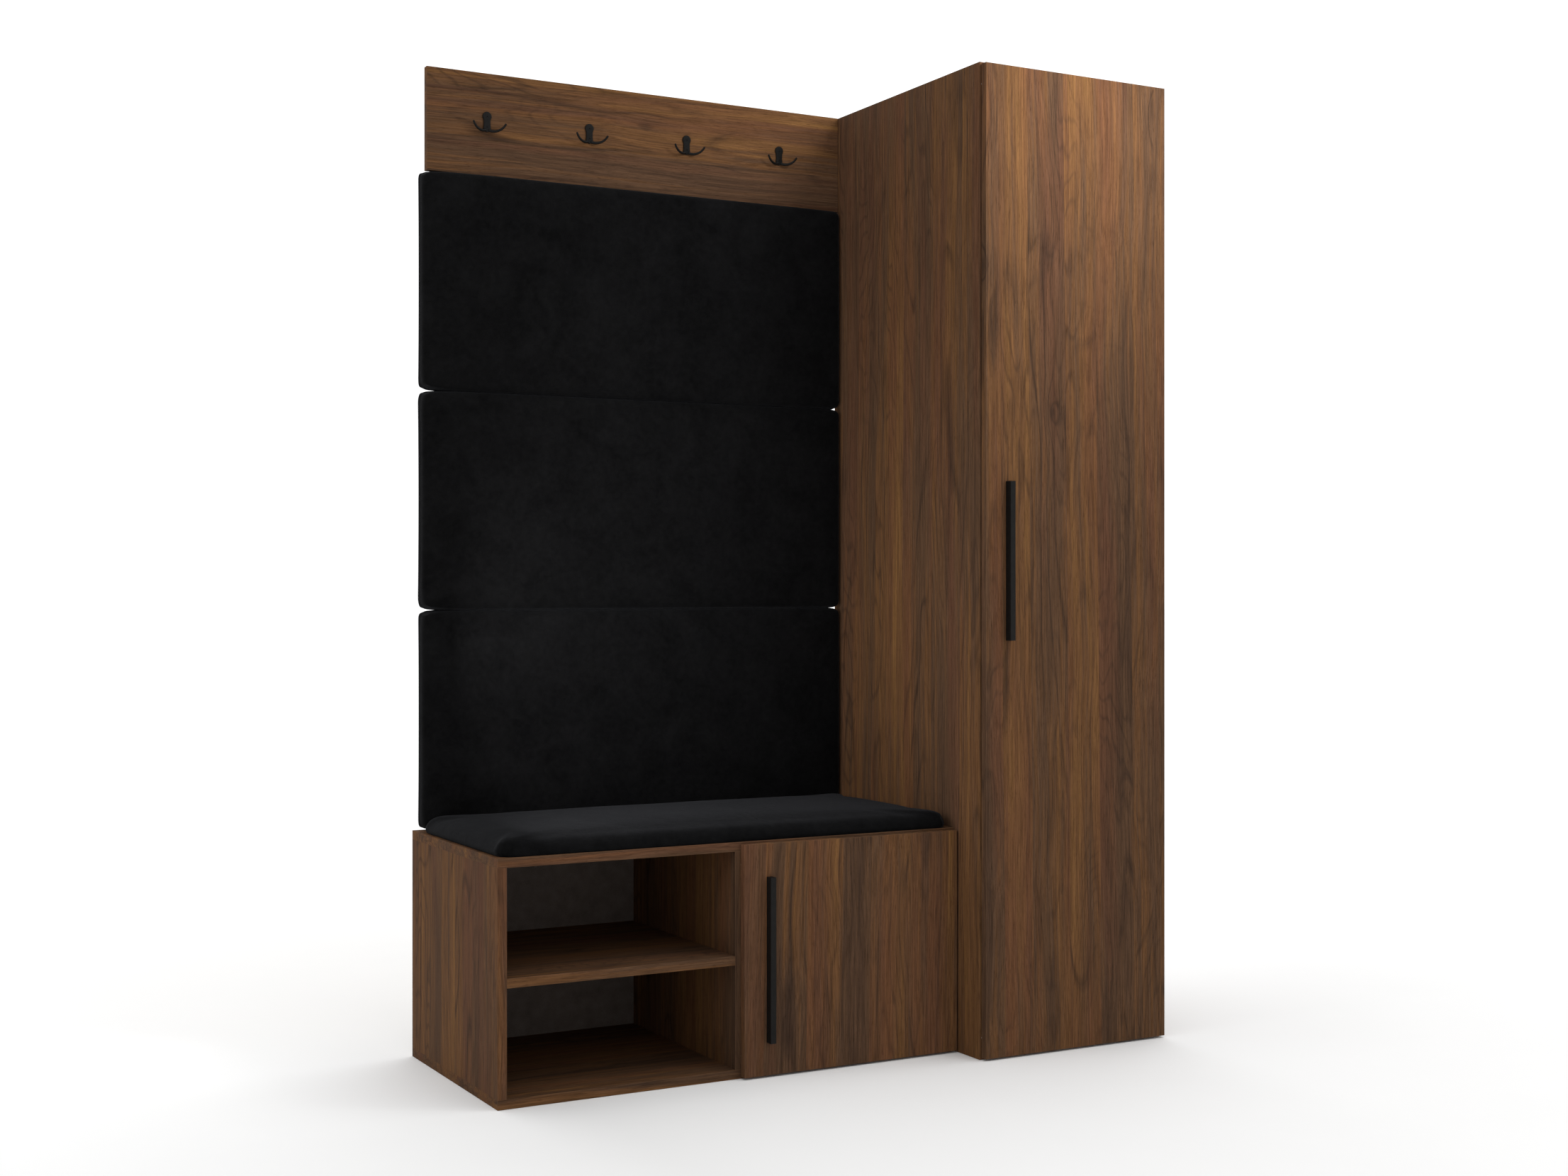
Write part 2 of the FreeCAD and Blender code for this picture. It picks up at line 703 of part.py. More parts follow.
def bench_cabinet():
    inner_height = "bench_height - 2 * board"
    for label, level in (("bench_bottom", "0"), ("bench_top", "bench_ceiling")):
        finish_board(label, board(("left_end", "bench_front", level),
                                  ("bench_width", "bench_depth", "board")))
    for label, left in (("bench_left_side", "left_end"), ("bench_right_side", "seam - board")):
        finish_board(label, board((left, "bench_front", "board"),
                                  ("board", "bench_depth", inner_height)))
    finish_board("bench_divider", board(
        ("bench_middle - board / 2", "bench_front", "board"),
        ("board", "back_face - bench_front", inner_height)))
    bay = "left_end + board"
    finish_board("bench_shoe_shelf", board(
        (bay, "bench_front", "shoe_shelf_level"),
        (f"bench_middle - board / 2 - ({bay})", "back_face - bench_front", "board")))
    shelf("bench_inner_shelf", "(bench_middle + board / 2)", "(seam - board)", "bench_front",
          "shoe_shelf_level")


def tall_cabinet():
    inner_width = "tall_width - 2 * board"
    for label, left in (("tall_left_side", "seam"), ("tall_right_side", "right_end - board")):
        finish_board(label, board((left, "tall_front", "0"),
                                  ("board", "tall_depth", "tall_height")))
    for label, level in (("tall_bottom", "0"), ("tall_top", "tall_ceiling")):
        finish_board(label, board(("seam + board", "tall_front", level),
                                  (inner_width, "tall_depth", "board")))
    finish_board("tall_hat_shelf", board(("seam + board", "tall_front", "hat_shelf_level"),
                                         (inner_width, "back_face - tall_front", "board")))
    shelf("tall_lower_shelf", "(seam + board)", "(right_end - board)", "tall_front",
          "lower_shelf_level")


def joining_bolts():
    """Bolts with a head on each side that hold the two cabinets together."""
    shank = rod(("0", "0", "-board"), "joiner_radius", "2 * board")
    heads = [rod(("0", "0", "board"), "joiner_head", "joiner_head_height"),
             rod(("0", "0", "-board - joiner_head_height"), "joiner_head", "joiner_head_height")]
    bolt = fuse([shank] + heads, "JoiningBolt")
    hole = rod(("0", "0", "-board - 1"), "joiner_radius + bore_play", "2 * board + 2")
    bolts = []
    for y in ("bench_front + joiner_setback", "back_face - joiner_setback"):
        for z in ("joiner_end", "bench_height - joiner_end"):
            bolts.append(copy_of(bolt, ("seam", y, z), turned(RIGHT, UP)))
            drilled = copy_of(hole, ("seam", y, z), turned(RIGHT, UP))
            bore("bench_right_side", drilled)
            bore("tall_left_side", drilled)
    node("joining_bolts", group(bolts))


def hanging_rail():
    """A tube across the tall cabinet under the hat shelf, in a socket at each end."""
    y = "(tall_front + back_face) / 2"
    plate = rod(("0", "0", "0"), "socket_radius", "socket_sheet")
    collar = rod(("0", "0", "0"), "socket_collar", "socket_depth")
    seat = rod(("0", "0", "socket_sheet"), "rail_radius + rail_play", "socket_depth")
    holes = [rod(("0", f"{side} * socket_screw_pitch / 2", "-1"), "screw_shank + bore_play",
                 "socket_sheet + 2") for side in (-1, 1)]
    socket = cut(fuse([plate, collar]), [seat] + holes, "RailSocket")
    ends = (("tall_left_side", "seam + board", RIGHT, "socket_sheet"),
            ("tall_right_side", "right_end - board", LEFT, "-socket_sheet"))
    sockets, screws = [], []
    for side_board, x, out, step in ends:
        sockets.append(copy_of(socket, (x, y, "rail_level"), turned(out, UP)))
        for side in (-1, 1):
            screws.append(fasten(side_board, (
                f"{x} + {step}", y, f"rail_level + {side} * socket_screw_pitch / 2"), out))
    node("rail_sockets", group(sockets))
    node("rail_socket_screws", group(screws))
    length = "tall_width - 2 * board - 2 * socket_sheet"
    outside = rod(("seam + board + socket_sheet", y, "rail_level"), "rail_radius", length, RIGHT)
    inside = rod(("seam + board + socket_sheet - 1", y, "rail_level"),
                 "rail_radius - rail_wall", f"{length} + 2", RIGHT)
    node("hanging_rail", cut(outside, [inside]))


def wall_brackets():
    """Angles under the tall cabinet's top that take the screws into the wall."""
    flat = box(("-bracket_width / 2", "-bracket_leg", "-bracket_sheet"),
               ("bracket_width", "bracket_leg", "bracket_sheet"))
    upright = box(("-bracket_width / 2", "-bracket_sheet", "-bracket_leg"),
                  ("bracket_width", "bracket_sheet", "bracket_leg"))
    wall_hole = rod(("0", "1", "-bracket_hole_drop"), "bracket_hole",
                    "bracket_sheet + 2", FRONT)
    top_hole = rod(("0", "-bracket_leg / 2", "-bracket_sheet - 1"), "screw_shank + bore_play",
                   "bracket_sheet + 2")
    bracket = cut(fuse([flat, upright]), [wall_hole, top_hole], "WallBracket")
    brackets, screws = [], []
    for x in ("seam + board + bracket_inset", "right_end - board - bracket_inset"):
        brackets.append(copy_of(bracket, (x, "back_face", "tall_ceiling")))
        screws.append(fasten("tall_top", (
            x, "back_face - bracket_leg / 2", "tall_ceiling - bracket_sheet"), DOWN))
        bore("tall_back", rod((x, "back_face - 1", "tall_ceiling - bracket_hole_drop"),
                              "bracket_hole", "back_sheet + 2", BACK))
    node("wall_brackets", group(brackets))
    node("wall_bracket_screws", group(screws))


# ---------------------------------------------------------------- coat hooks

def countersink(shank, length, head, head_height):
    """The room a sunk screw needs in the plate that it holds."""
    cone = doc.addObject("Part::Cone", "Countersink")
    bind(cone, Radius1=f"{shank} + bore_play", Radius2=f"{head} + bore_play", Height=head_height)
    place(cone, ("0", "0", f"-{head_height}"))
    return fuse([cone, pilot_blank(shank, length),
                 rod(("0", "0", "0"), f"{head} + bore_play", "1")])


def prong(side):
    """A round prong that leaves the plate's foot sideways and bends upwards to its tip."""
    splay = "-prong_splay" if side > 0 else "180 + prong_splay"
    turn = f"rotation({splay}; 0; 90)"
    root = f"vector({side} * prong_root; -prong_root_out; 0)"
    bend = doc.addObject("Part::Torus", "ProngBend")
    bind(bend, Radius1="prong_bend", Radius2="prong_radius", Angle3="prong_sweep",
         Placement=f"placement({root}; {turn}) * "
                   "placement(vector(prong_centre_out; prong_centre_rise; 0); "
                   "rotation(prong_start_angle; 0; 0))")
    tip = doc.addObject("Part::Sphere", "ProngTip")
    bind(tip, Radius="prong_radius",
         Placement=f"placement({root}; {turn}) * "
                   "placement(vector(prong_centre_out; prong_centre_rise; 0); "
                   "rotation(prong_start_angle + prong_sweep; 0; 0)) * "
                   "placement(vector(prong_bend; 0; 0); rotation(0; 0; 0))")
    return [bend, tip]


def coat_hooks():
    """Double hooks in a row on the hook board, each held by two sunk screws."""
    plate = [rod(("0", "0", "hook_head_rise"), "hook_head_radius", "hook_plate", FRONT),
             rod(("0", "0", "-hook_foot_drop"), "hook_foot_radius", "hook_plate", FRONT),
             box(("-hook_waist / 2", "-hook_plate", "-hook_foot_drop"),
                 ("hook_waist", "hook_plate", "hook_foot_drop + hook_head_rise"))]
    sink = countersink("screw_shank", "screw_length", "screw_head", "screw_head_height")
    rows = ("hook_screw_rise", "-hook_screw_drop")
    sinks = [copy_of(sink, ("0", "-hook_plate", rise), turned(FRONT, UP)) for rise in rows]
    hook = cut(fuse(plate + prong(1) + prong(-1)), sinks, "CoatHook")
    screws = []
    for number in range(1, HOOKS + 1):
        x = f"bench_middle + ({number} - ({HOOKS} + 1) / 2) * hook_pitch"
        node(f"coat_hook_{number}", group([copy_of(hook, (x, "hook_board_face", "hook_level"))]))
        for rise in rows:
            screws.append(fasten("hook_board", (
                x, "hook_board_face - hook_plate", f"hook_level + {rise}"), FRONT, sunk_screw))
    node("coat_hook_screws", group(screws))


# ---------------------------------------------------------------- hangers on the wall side

def hanger_masters():
    """A keyhole plate whose face is flush with the board's back at Z = 0."""
    plate = box(("-hanger_length / 2", "-hanger_width / 2", "-hanger_sheet"),
                ("hanger_length", "hanger_width", "hanger_sheet"))
    keyhole = [rod(("0", "-hanger_hole_drop", "-hanger_sheet - 1"), "hanger_hole",
                   "hanger_sheet + 2"),
               rod(("0", "hanger_slot_rise - hanger_slot", "-hanger_sheet - 1"), "hanger_slot",
                   "hanger_sheet + 2"),
               box(("-hanger_slot", "-hanger_hole_drop", "-hanger_sheet - 1"),
                   ("2 * hanger_slot", "hanger_hole_drop + hanger_slot_rise - hanger_slot",
                    "hanger_sheet + 2"))]
    sink = countersink("hanger_screw_shank", "hanger_screw_length", "hanger_screw_head",
                       "hanger_screw_head_height")
    sinks = [copy_of(sink, (f"{side} * hanger_screw_pitch / 2", "0", "0")) for side in (-1, 1)]
    hanger = cut(plate, [fuse(keyhole)] + sinks, "HangerPlate")
    recess = box(("-hanger_length / 2 - bore_play", "-hanger_width / 2 - bore_play",
                  "-hanger_sheet"),
                 ("hanger_length + 2 * bore_play", "hanger_width + 2 * bore_play",
                  "hanger_sheet + 1"))
    clearance = box(("-hanger_hole - bore_play", "-hanger_hole_drop - hanger_hole",
                     "-hanger_sheet - hanger_clearance"),
                    ("2 * hanger_hole + 2 * bore_play",
                     "hanger_hole_drop + 2 * hanger_hole + bore_play", "hanger_clearance + 1"))
    return hanger, fuse([recess, clearance])


def hangers():
    """Two keyhole plates on the back of each wall panel's board and of the hook board."""
    hanger, recess = hanger_masters()
    rows = [("hook_board", "hook_board_left + hanger_inset", "hook_board_right - hanger_inset",
             "wall", "tall_height - hook_hanger_drop")]
    for number in range(1, PANELS + 1):
        rows.append((f"panel_board_{number}", "panel_left + hanger_inset",
                     "panel_left + panel_width - hanger_inset", "wall - hem",
                     f"bench_height + {number} * panel_pitch - hanger_drop"))
    plates, screws = [], []
    for board_label, left, right, y, z in rows:
        for x in (left, right):
            plates.append(copy_of(hanger, (x, y, z), turned(BACK, UP)))
            bore(board_label, copy_of(recess, (x, y, z), turned(BACK, UP)))
            for side in (-1, 1):
                screws.append(fasten(board_label, (
                    f"{x} + {side} * hanger_screw_pitch / 2", y, z), BACK,
                    hanger_screw, hanger_pilot))
    node("hanger_plates", group(plates))
    node("hanger_screws", group(screws))


# ---------------------------------------------------------------- upholstery

def wall_panels():
    """Three padded panels, one above the other between the bench and the hook board."""
    for number in range(1, PANELS + 1):
        low = f"bench_height + ({number} - 1) * panel_pitch + panel_gap / 2"
        pad = padded_slab(f"panel_pad_{number}", ("panel_width", "panel_height",
                                                  "panel_thickness"),
                          "panel_corner", "panel_edge", "panel_board", "panel_wrap")
        place(pad, ("panel_left", "wall", low), turned(FRONT, UP))
        finish_board(f"panel_board_{number}", box(
            ("panel_left + panel_wrap", "wall - hem - panel_board", f"{low} + panel_wrap"),
            ("panel_width - 2 * panel_wrap", "panel_board", "panel_height - 2 * panel_wrap")))


def seat():
    """The seat cushion: padding wrapped round a board, which is screwed to the bench's top."""
    pad = padded_slab("seat_pad", ("cushion_width", "cushion_depth", "cushion_thickness"),
                      "cushion_corner", "cushion_edge", "seat_board", "seat_wrap")
    place(pad, ("cushion_left", "cushion_front", "bench_height"))
    screws = []
    for x in ("cushion_left + seat_screw_inset",
              "cushion_left + cushion_width - seat_screw_inset"):
        for y in ("cushion_front + seat_screw_inset",
                  "cushion_front + cushion_depth - seat_screw_inset"):
            screws.append(fasten("bench_top", (x, y, "bench_ceiling"), DOWN,
                                 seat_screw, seat_pilot))
            bore("seat_board", bores["bench_top"][-1])
    node("seat_screws", group(screws))
    finish_board("seat_board", box(
        ("cushion_left + seat_wrap", "cushion_front + seat_wrap", "bench_height + hem"),
        ("cushion_width - 2 * seat_wrap", "cushion_depth - 2 * seat_wrap", "seat_board")))


# ---------------------------------------------------------------- the whole set

HOOKS = 4
PANELS = 3
TALL_HINGES = 4
BENCH_HINGES = 2


def hinge_levels(height, end, count):
    """Evenly spaced levels between the first and last hinge of a door."""
    low = f"end_reveal + {end}"
    step = f"({height} - 2 * end_reveal - 2 * {end}) / {count - 1}"
    return [f"{low} + {number} * {step}" for number in range(count)]


def back_sheets():
    back_sheet("bench_back", "(left_end + board)", "(seam - board)", "board", "bench_ceiling",
               ("bench_left_side", "bench_right_side", "bench_top", "bench_bottom"))
    back_sheet("tall_back", "(seam + board)", "(right_end - board)", "board", "tall_ceiling",
               ("tall_left_side", "tall_right_side", "tall_top", "tall_bottom"))


carcass_joints()
shelf_pins()
joining_bolts()
hanging_rail()
wall_brackets()
door("bench", "bench_right_side", "bench_door_left", "bench_door_right", "bench_door_back",
     "bench_height", "bench_handle_level", hinge_levels("bench_height", "hinge_end", BENCH_HINGES))
door("tall", "tall_right_side", "tall_door_left", "tall_door_right", "tall_door_back",
     "tall_height", "tall_handle_level", hinge_levels("tall_height", "tall_hinge_end", TALL_HINGES))
node("hinge_plates", group(hinge_plates))
node("hinge_arms", group(hinge_arms))
node("hinge_plate_screws", group(plate_screws))
back_sheets()
seat()
bench_cabinet()
tall_cabinet()
coat_hooks()
hangers()
wall_panels()
finish_board("hook_board", board(
    ("hook_board_left", "hook_board_face", "hook_board_level"),
    ("hook_board_right - hook_board_left", "hook_board_thickness", "hook_board_height")))

doc.recompute()

# ---------------------------------------------------------------- checks and files

for item in doc.Objects:
    if {"Invalid", "Error"} & set(item.State):
        raise RuntimeError(f"{item.Label} failed: {item.State}")
for label, item in nodes.items():
    if item.Label != label:
        raise RuntimeError(f"{label} is taken by another object")
    if item.Shape.isNull() or not item.Shape.isValid():
        raise RuntimeError(f"{label} has no valid shape")

os.makedirs("parts", exist_ok=True)
for label, item in nodes.items():
    item.Shape.exportStep(f"parts/{label}.step")
print(len(nodes), "sub-parts written")
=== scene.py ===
import json
import math

import bmesh
import bpy
from mathutils import Matrix, Vector, noise


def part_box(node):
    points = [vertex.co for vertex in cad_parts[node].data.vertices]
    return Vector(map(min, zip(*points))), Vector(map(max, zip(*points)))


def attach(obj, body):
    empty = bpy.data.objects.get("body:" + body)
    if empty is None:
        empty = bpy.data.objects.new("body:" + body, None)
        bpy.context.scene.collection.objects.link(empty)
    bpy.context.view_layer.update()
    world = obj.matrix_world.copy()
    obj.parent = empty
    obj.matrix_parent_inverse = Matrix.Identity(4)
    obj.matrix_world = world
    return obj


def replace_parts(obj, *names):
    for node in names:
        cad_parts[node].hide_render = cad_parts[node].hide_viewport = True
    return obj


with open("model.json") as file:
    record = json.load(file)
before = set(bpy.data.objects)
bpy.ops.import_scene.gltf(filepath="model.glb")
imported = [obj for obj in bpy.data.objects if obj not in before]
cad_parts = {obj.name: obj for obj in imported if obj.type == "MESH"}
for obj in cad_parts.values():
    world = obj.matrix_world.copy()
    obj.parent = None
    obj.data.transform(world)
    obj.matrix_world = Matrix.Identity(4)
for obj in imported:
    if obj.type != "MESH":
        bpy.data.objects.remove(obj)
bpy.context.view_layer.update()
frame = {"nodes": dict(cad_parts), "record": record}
nodes = frame["nodes"]
print("frame loaded:", len(nodes), "nodes")


# Small helpers for node trees: a socket given as an input is linked, anything else is set.
def addNode(tree, kind, inputs=None, **settings):
    made = tree.nodes.new(kind)
    for name, value in settings.items():
        setattr(made, name, value)
    for key, value in (inputs or {}).items():
        if isinstance(value, bpy.types.NodeSocket):
            tree.links.new(value, made.inputs[key])
        else:
            made.inputs[key].default_value = value
    return made


def calc(tree, operation, first, second=0.0, clamp=False):
    return addNode(tree, "ShaderNodeMath", {0: first, 1: second},
                   operation=operation, use_clamp=clamp).outputs[0]


def scaled(tree, vector, factors):
    return addNode(tree, "ShaderNodeVectorMath", {0: vector, 1: factors},
                   operation="MULTIPLY").outputs[0]


def noiseAt(tree, vector, scale, detail=2.0, roughness=0.5, distortion=0.0):
    return addNode(tree, "ShaderNodeTexNoise", {
        "Vector": vector, "Scale": scale, "Detail": detail, "Roughness": roughness,
        "Distortion": distortion})


def ramp(tree, factor, stops, smooth=False):
    made = addNode(tree, "ShaderNodeValToRGB", {"Fac": factor})
    band = made.color_ramp
    band.interpolation = "EASE" if smooth else "LINEAR"
    while len(band.elements) < len(stops):
        band.elements.new(0.5)
    for element, (position, colour) in zip(band.elements, stops):
        element.position = position
        element.color = (*colour, 1) if isinstance(colour, tuple) else (colour, colour, colour, 1)
    return made.outputs["Color"]


def mixColour(tree, mode, factor, first, second):
    made = addNode(tree, "ShaderNodeMix", data_type="RGBA", blend_type=mode)
    for socket, value in ((made.inputs[0], factor), (made.inputs[6], first),
                          (made.inputs[7], second)):
        if isinstance(value, bpy.types.NodeSocket):
            tree.links.new(value, socket)
        else:
            socket.default_value = (*value, 1) if isinstance(value, tuple) else value
    return made.outputs[2]


def newGroup(name, inputs, outputs):
    tree = bpy.data.node_groups.new(name, "ShaderNodeTree")
    for socketName, kind in inputs:
        tree.interface.new_socket(socketName, in_out="INPUT", socket_type=kind)
    for socketName, kind in outputs:
        tree.interface.new_socket(socketName, in_out="OUTPUT", socket_type=kind)
    return tree, tree.nodes.new("NodeGroupInput"), tree.nodes.new("NodeGroupOutput")


def newMaterial(name):
    made = bpy.data.materials.new(name)
    made.use_nodes = True
    tree = made.node_tree
    shader = tree.nodes["Principled BSDF"]
    place = addNode(tree, "ShaderNodeTexCoord").outputs["Object"]
    return made, tree, shader, place


def relief(tree, shader, height, depth, strength=1.0):
    bump = addNode(tree, "ShaderNodeBump", {"Height": height, "Distance": depth,
                                            "Strength": strength})
    tree.links.new(bump.outputs[0], shader.inputs["Normal"])


# Walnut-look laminate. The figure runs along the pattern's own Z; sizes are in metres.
walnut = {
    "darkBrown": (0.064, 0.036, 0.022),
    "greyBrown": (0.088, 0.048, 0.027),
    "warmBrown": (0.118, 0.057, 0.0255),
    "orangeBrown": (0.172, 0.085, 0.0310),
    "redBrown": (0.112, 0.047, 0.026),
    "vein": (0.034, 0.021, 0.015),
    "staveScale": 13.0,     # strips of veneer across one metre
    "staveShade": 0.085,    # how much they differ
    "drift": 0.034,         # how far the grain wanders sideways
    "streakScale": 46.0,    # streaks across one metre
    "bandScale": 150.0,
    "fibreScale": 430.0,
    "poreScale": 1150.0,
    "veinCount": 16.0,
    "ringCount": 44.0,      # fine wavy lines of late wood
    "ringDepth": 0.42,
    "knotScale": (4.6, 4.6, 1.9),
    "roughness": 0.50, "specular": 0.01,
    "reliefDepth": 0.00012, "reliefStrength": 0.8,
    # painted highlight on the rounded arrises: its colour and how much of it is mixed in
    "arrisColour": (0.23, 0.13, 0.07), "arrisWear": 0.15,
    "flatness": 0.985,      # a normal that lies less square than this is on an arris
}


def walnutFigure():
    tree, entry, out = newGroup(
        "walnutFigure", [("Place", "NodeSocketVector")],
        [("Colour", "NodeSocketColor"), ("Relief", "NodeSocketFloat"),
         ("Gloss", "NodeSocketFloat")])
    # strips with straight edges, each cut from another part of the log
    parts = addNode(tree, "ShaderNodeSeparateXYZ", {0: entry.outputs["Place"]})
    across = calc(tree, "ADD", parts.outputs[0], parts.outputs[1])
    staves = addNode(tree, "ShaderNodeTexVoronoi", {
        "W": across, "Scale": walnut["staveScale"], "Randomness": 0.95},
        voronoi_dimensions="1D")
    stave = addNode(tree, "ShaderNodeSeparateColor", {"Color": staves.outputs["Color"]})
    jump = addNode(tree, "ShaderNodeCombineXYZ", {
        0: calc(tree, "MULTIPLY", stave.outputs[0], 0.05),
        2: calc(tree, "MULTIPLY", stave.outputs[1], 1.6)})
    place = addNode(tree, "ShaderNodeVectorMath", {0: entry.outputs["Place"],
                                                   1: jump.outputs[0]}, operation="ADD").outputs[0]
    # the grain drifts and turns round a few knots
    wander = noiseAt(tree, scaled(tree, place, (1.6, 1.6, 1.9)), 1.0, 2.0, 0.45).outputs["Color"]
    wander = addNode(tree, "ShaderNodeVectorMath", {0: wander, 1: (0.5, 0.5, 0.5)},
                     operation="SUBTRACT").outputs[0]
    wander = scaled(tree, wander, (walnut["drift"], walnut["drift"], 0.0))
    grown = addNode(tree, "ShaderNodeVectorMath", {0: place, 1: wander},
                    operation="ADD").outputs[0]
    knots = addNode(tree, "ShaderNodeTexVoronoi", {
        "Vector": scaled(tree, place, walnut["knotScale"]), "Scale": 1.0, "Randomness": 1.0})
    nearKnot = calc(tree, "SUBTRACT", 1.0,
                    calc(tree, "MULTIPLY", knots.outputs["Distance"], 5.2), clamp=True)
    nearKnot = calc(tree, "POWER", nearKnot, 2.0)
    knotCore = calc(tree, "SUBTRACT", 1.0,
                    calc(tree, "MULTIPLY", knots.outputs["Distance"], 22.0), clamp=True)
    # streaks of lighter and darker wood, long along the grain
    streaks = noiseAt(tree, scaled(tree, grown, (1, 1, 0.022)), walnut["streakScale"],
                      4.0, 0.6, 0.2).outputs["Fac"]
    broad = noiseAt(tree, scaled(tree, grown, (1, 1, 0.11)), 7.5, 2.0, 0.5).outputs["Fac"]
    bands = noiseAt(tree, scaled(tree, grown, (1, 1, 0.012)), walnut["bandScale"],
                    2.0, 0.5).outputs["Fac"]
    tone = calc(tree, "ADD", calc(tree, "MULTIPLY", streaks, 0.42),
                calc(tree, "ADD", calc(tree, "MULTIPLY", broad, 0.40),
                     calc(tree, "MULTIPLY", bands, 0.26)))
    tone = calc(tree, "ADD", tone, calc(tree, "MULTIPLY", calc(
        tree, "SUBTRACT", stave.outputs[2], 0.42), walnut["staveShade"]))
    tone = calc(tree, "SUBTRACT", tone, calc(tree, "MULTIPLY", nearKnot, 0.10))
    colour = ramp(tree, tone, [(0.40, walnut["darkBrown"]), (0.50, walnut["greyBrown"]),
                               (0.585, walnut["warmBrown"]), (0.72, walnut["orangeBrown"])])
    reddish = noiseAt(tree, scaled(tree, grown, (1, 1, 0.05)), 17.0, 2.0, 0.5).outputs["Fac"]
    colour = mixColour(tree, "MIX", calc(tree, "MULTIPLY", ramp(
        tree, reddish, [(0.50, 0.0), (0.66, 1.0)]), 0.5), colour, walnut["redBrown"])
    # long dark veins are the contour lines of a slow field
    field = noiseAt(tree, scaled(tree, grown, (1, 1, 0.10)), 5.0, 2.0, 0.42).outputs["Fac"]
    field = calc(tree, "ADD", calc(tree, "MULTIPLY", field, walnut["veinCount"]),
                 calc(tree, "MULTIPLY", nearKnot, 1.6))
    veins = calc(tree, "PINGPONG", field, 0.5)
    veins = ramp(tree, veins, [(0.0, 1.0), (0.035, 0.7), (0.13, 0.0)], smooth=True)
    patchy = noiseAt(tree, scaled(tree, place, (1, 1, 0.12)), 13.0, 3.0, 0.5).outputs["Fac"]
    veins = calc(tree, "MULTIPLY", veins, ramp(tree, patchy, [(0.42, 0.05), (0.66, 0.75)]))
    colour = mixColour(tree, "MIX", veins, colour, walnut["vein"])
    # late wood: finer wavy lines, close together in some strips
    slow = noiseAt(tree, scaled(tree, grown, (1, 1, 0.17)), 4.2, 4.0, 0.40, 0.15).outputs["Fac"]
    rings = ramp(tree, calc(tree, "PINGPONG", calc(
        tree, "MULTIPLY", slow, walnut["ringCount"]), 0.5), [(0.0, 1.0), (0.20, 0.0)], smooth=True)
    strips = noiseAt(tree, scaled(tree, grown, (1, 1, 0.10)), 9.0, 2.0, 0.5).outputs["Fac"]
    rings = calc(tree, "MULTIPLY", rings, ramp(tree, strips, [(0.44, 0.12), (0.60, 1.0)]))
    colour = mixColour(tree, "MIX", calc(tree, "MULTIPLY", rings, walnut["ringDepth"]), colour,
                       walnut["vein"])
    colour = mixColour(tree, "MIX", calc(tree, "MULTIPLY", knotCore, 0.85), colour,
                       walnut["vein"])
    # fine fibres and short open pores
    fibres = noiseAt(tree, scaled(tree, grown, (1, 1, 0.018)), walnut["fibreScale"],
                     3.0, 0.65).outputs["Fac"]
    colour = mixColour(tree, "MULTIPLY", 1.0, colour, ramp(
        tree, fibres, [(0.34, 0.72), (0.66, 1.25)]))
    pores = noiseAt(tree, scaled(tree, grown, (1, 1, 0.05)), walnut["poreScale"],
                    1.0, 0.5).outputs["Fac"]
    pores = ramp(tree, pores, [(0.60, 0.0), (0.70, 1.0)])
    colour = mixColour(tree, "MULTIPLY", calc(tree, "MULTIPLY", pores, 0.55), colour,
                       (0.45, 0.42, 0.40))
    height = calc(tree, "SUBTRACT", calc(tree, "MULTIPLY", fibres, 0.5), pores)
    gloss = calc(tree, "ADD", walnut["roughness"], calc(tree, "MULTIPLY", fibres, 0.16))
    tree.links.new(colour, out.inputs["Colour"])
    tree.links.new(height, out.inputs["Relief"])
    tree.links.new(gloss, out.inputs["Gloss"])
    return tree


# Bare chipboard, where a board's rear edge has no edging.
chipboard = {"pale": (0.43, 0.30, 0.18), "deep": (0.20, 0.125, 0.07), "chips": 190.0}


def chipboardFaces():
    tree, entry, out = newGroup("chipboardFaces", [("Place", "NodeSocketVector")],
                                [("Colour", "NodeSocketColor")])
    chips = addNode(tree, "ShaderNodeTexVoronoi", {
        "Vector": scaled(tree, entry.outputs["Place"], (1, 1, 0.4)),
        "Scale": chipboard["chips"], "Randomness": 1.0})
    shade = noiseAt(tree, entry.outputs["Place"], 600.0, 3.0, 0.7).outputs["Fac"]
    mixed = calc(tree, "ADD", calc(tree, "MULTIPLY", addNode(
        tree, "ShaderNodeSeparateColor", {"Color": chips.outputs["Color"]}).outputs[0], 0.6),
        calc(tree, "MULTIPLY", shade, 0.5))
    tree.links.new(ramp(tree, mixed, [(0.2, chipboard["deep"]), (0.8, chipboard["pale"])]),
                   out.inputs["Colour"])
    return tree


figureGroup, chipGroup = walnutFigure(), chipboardFaces()

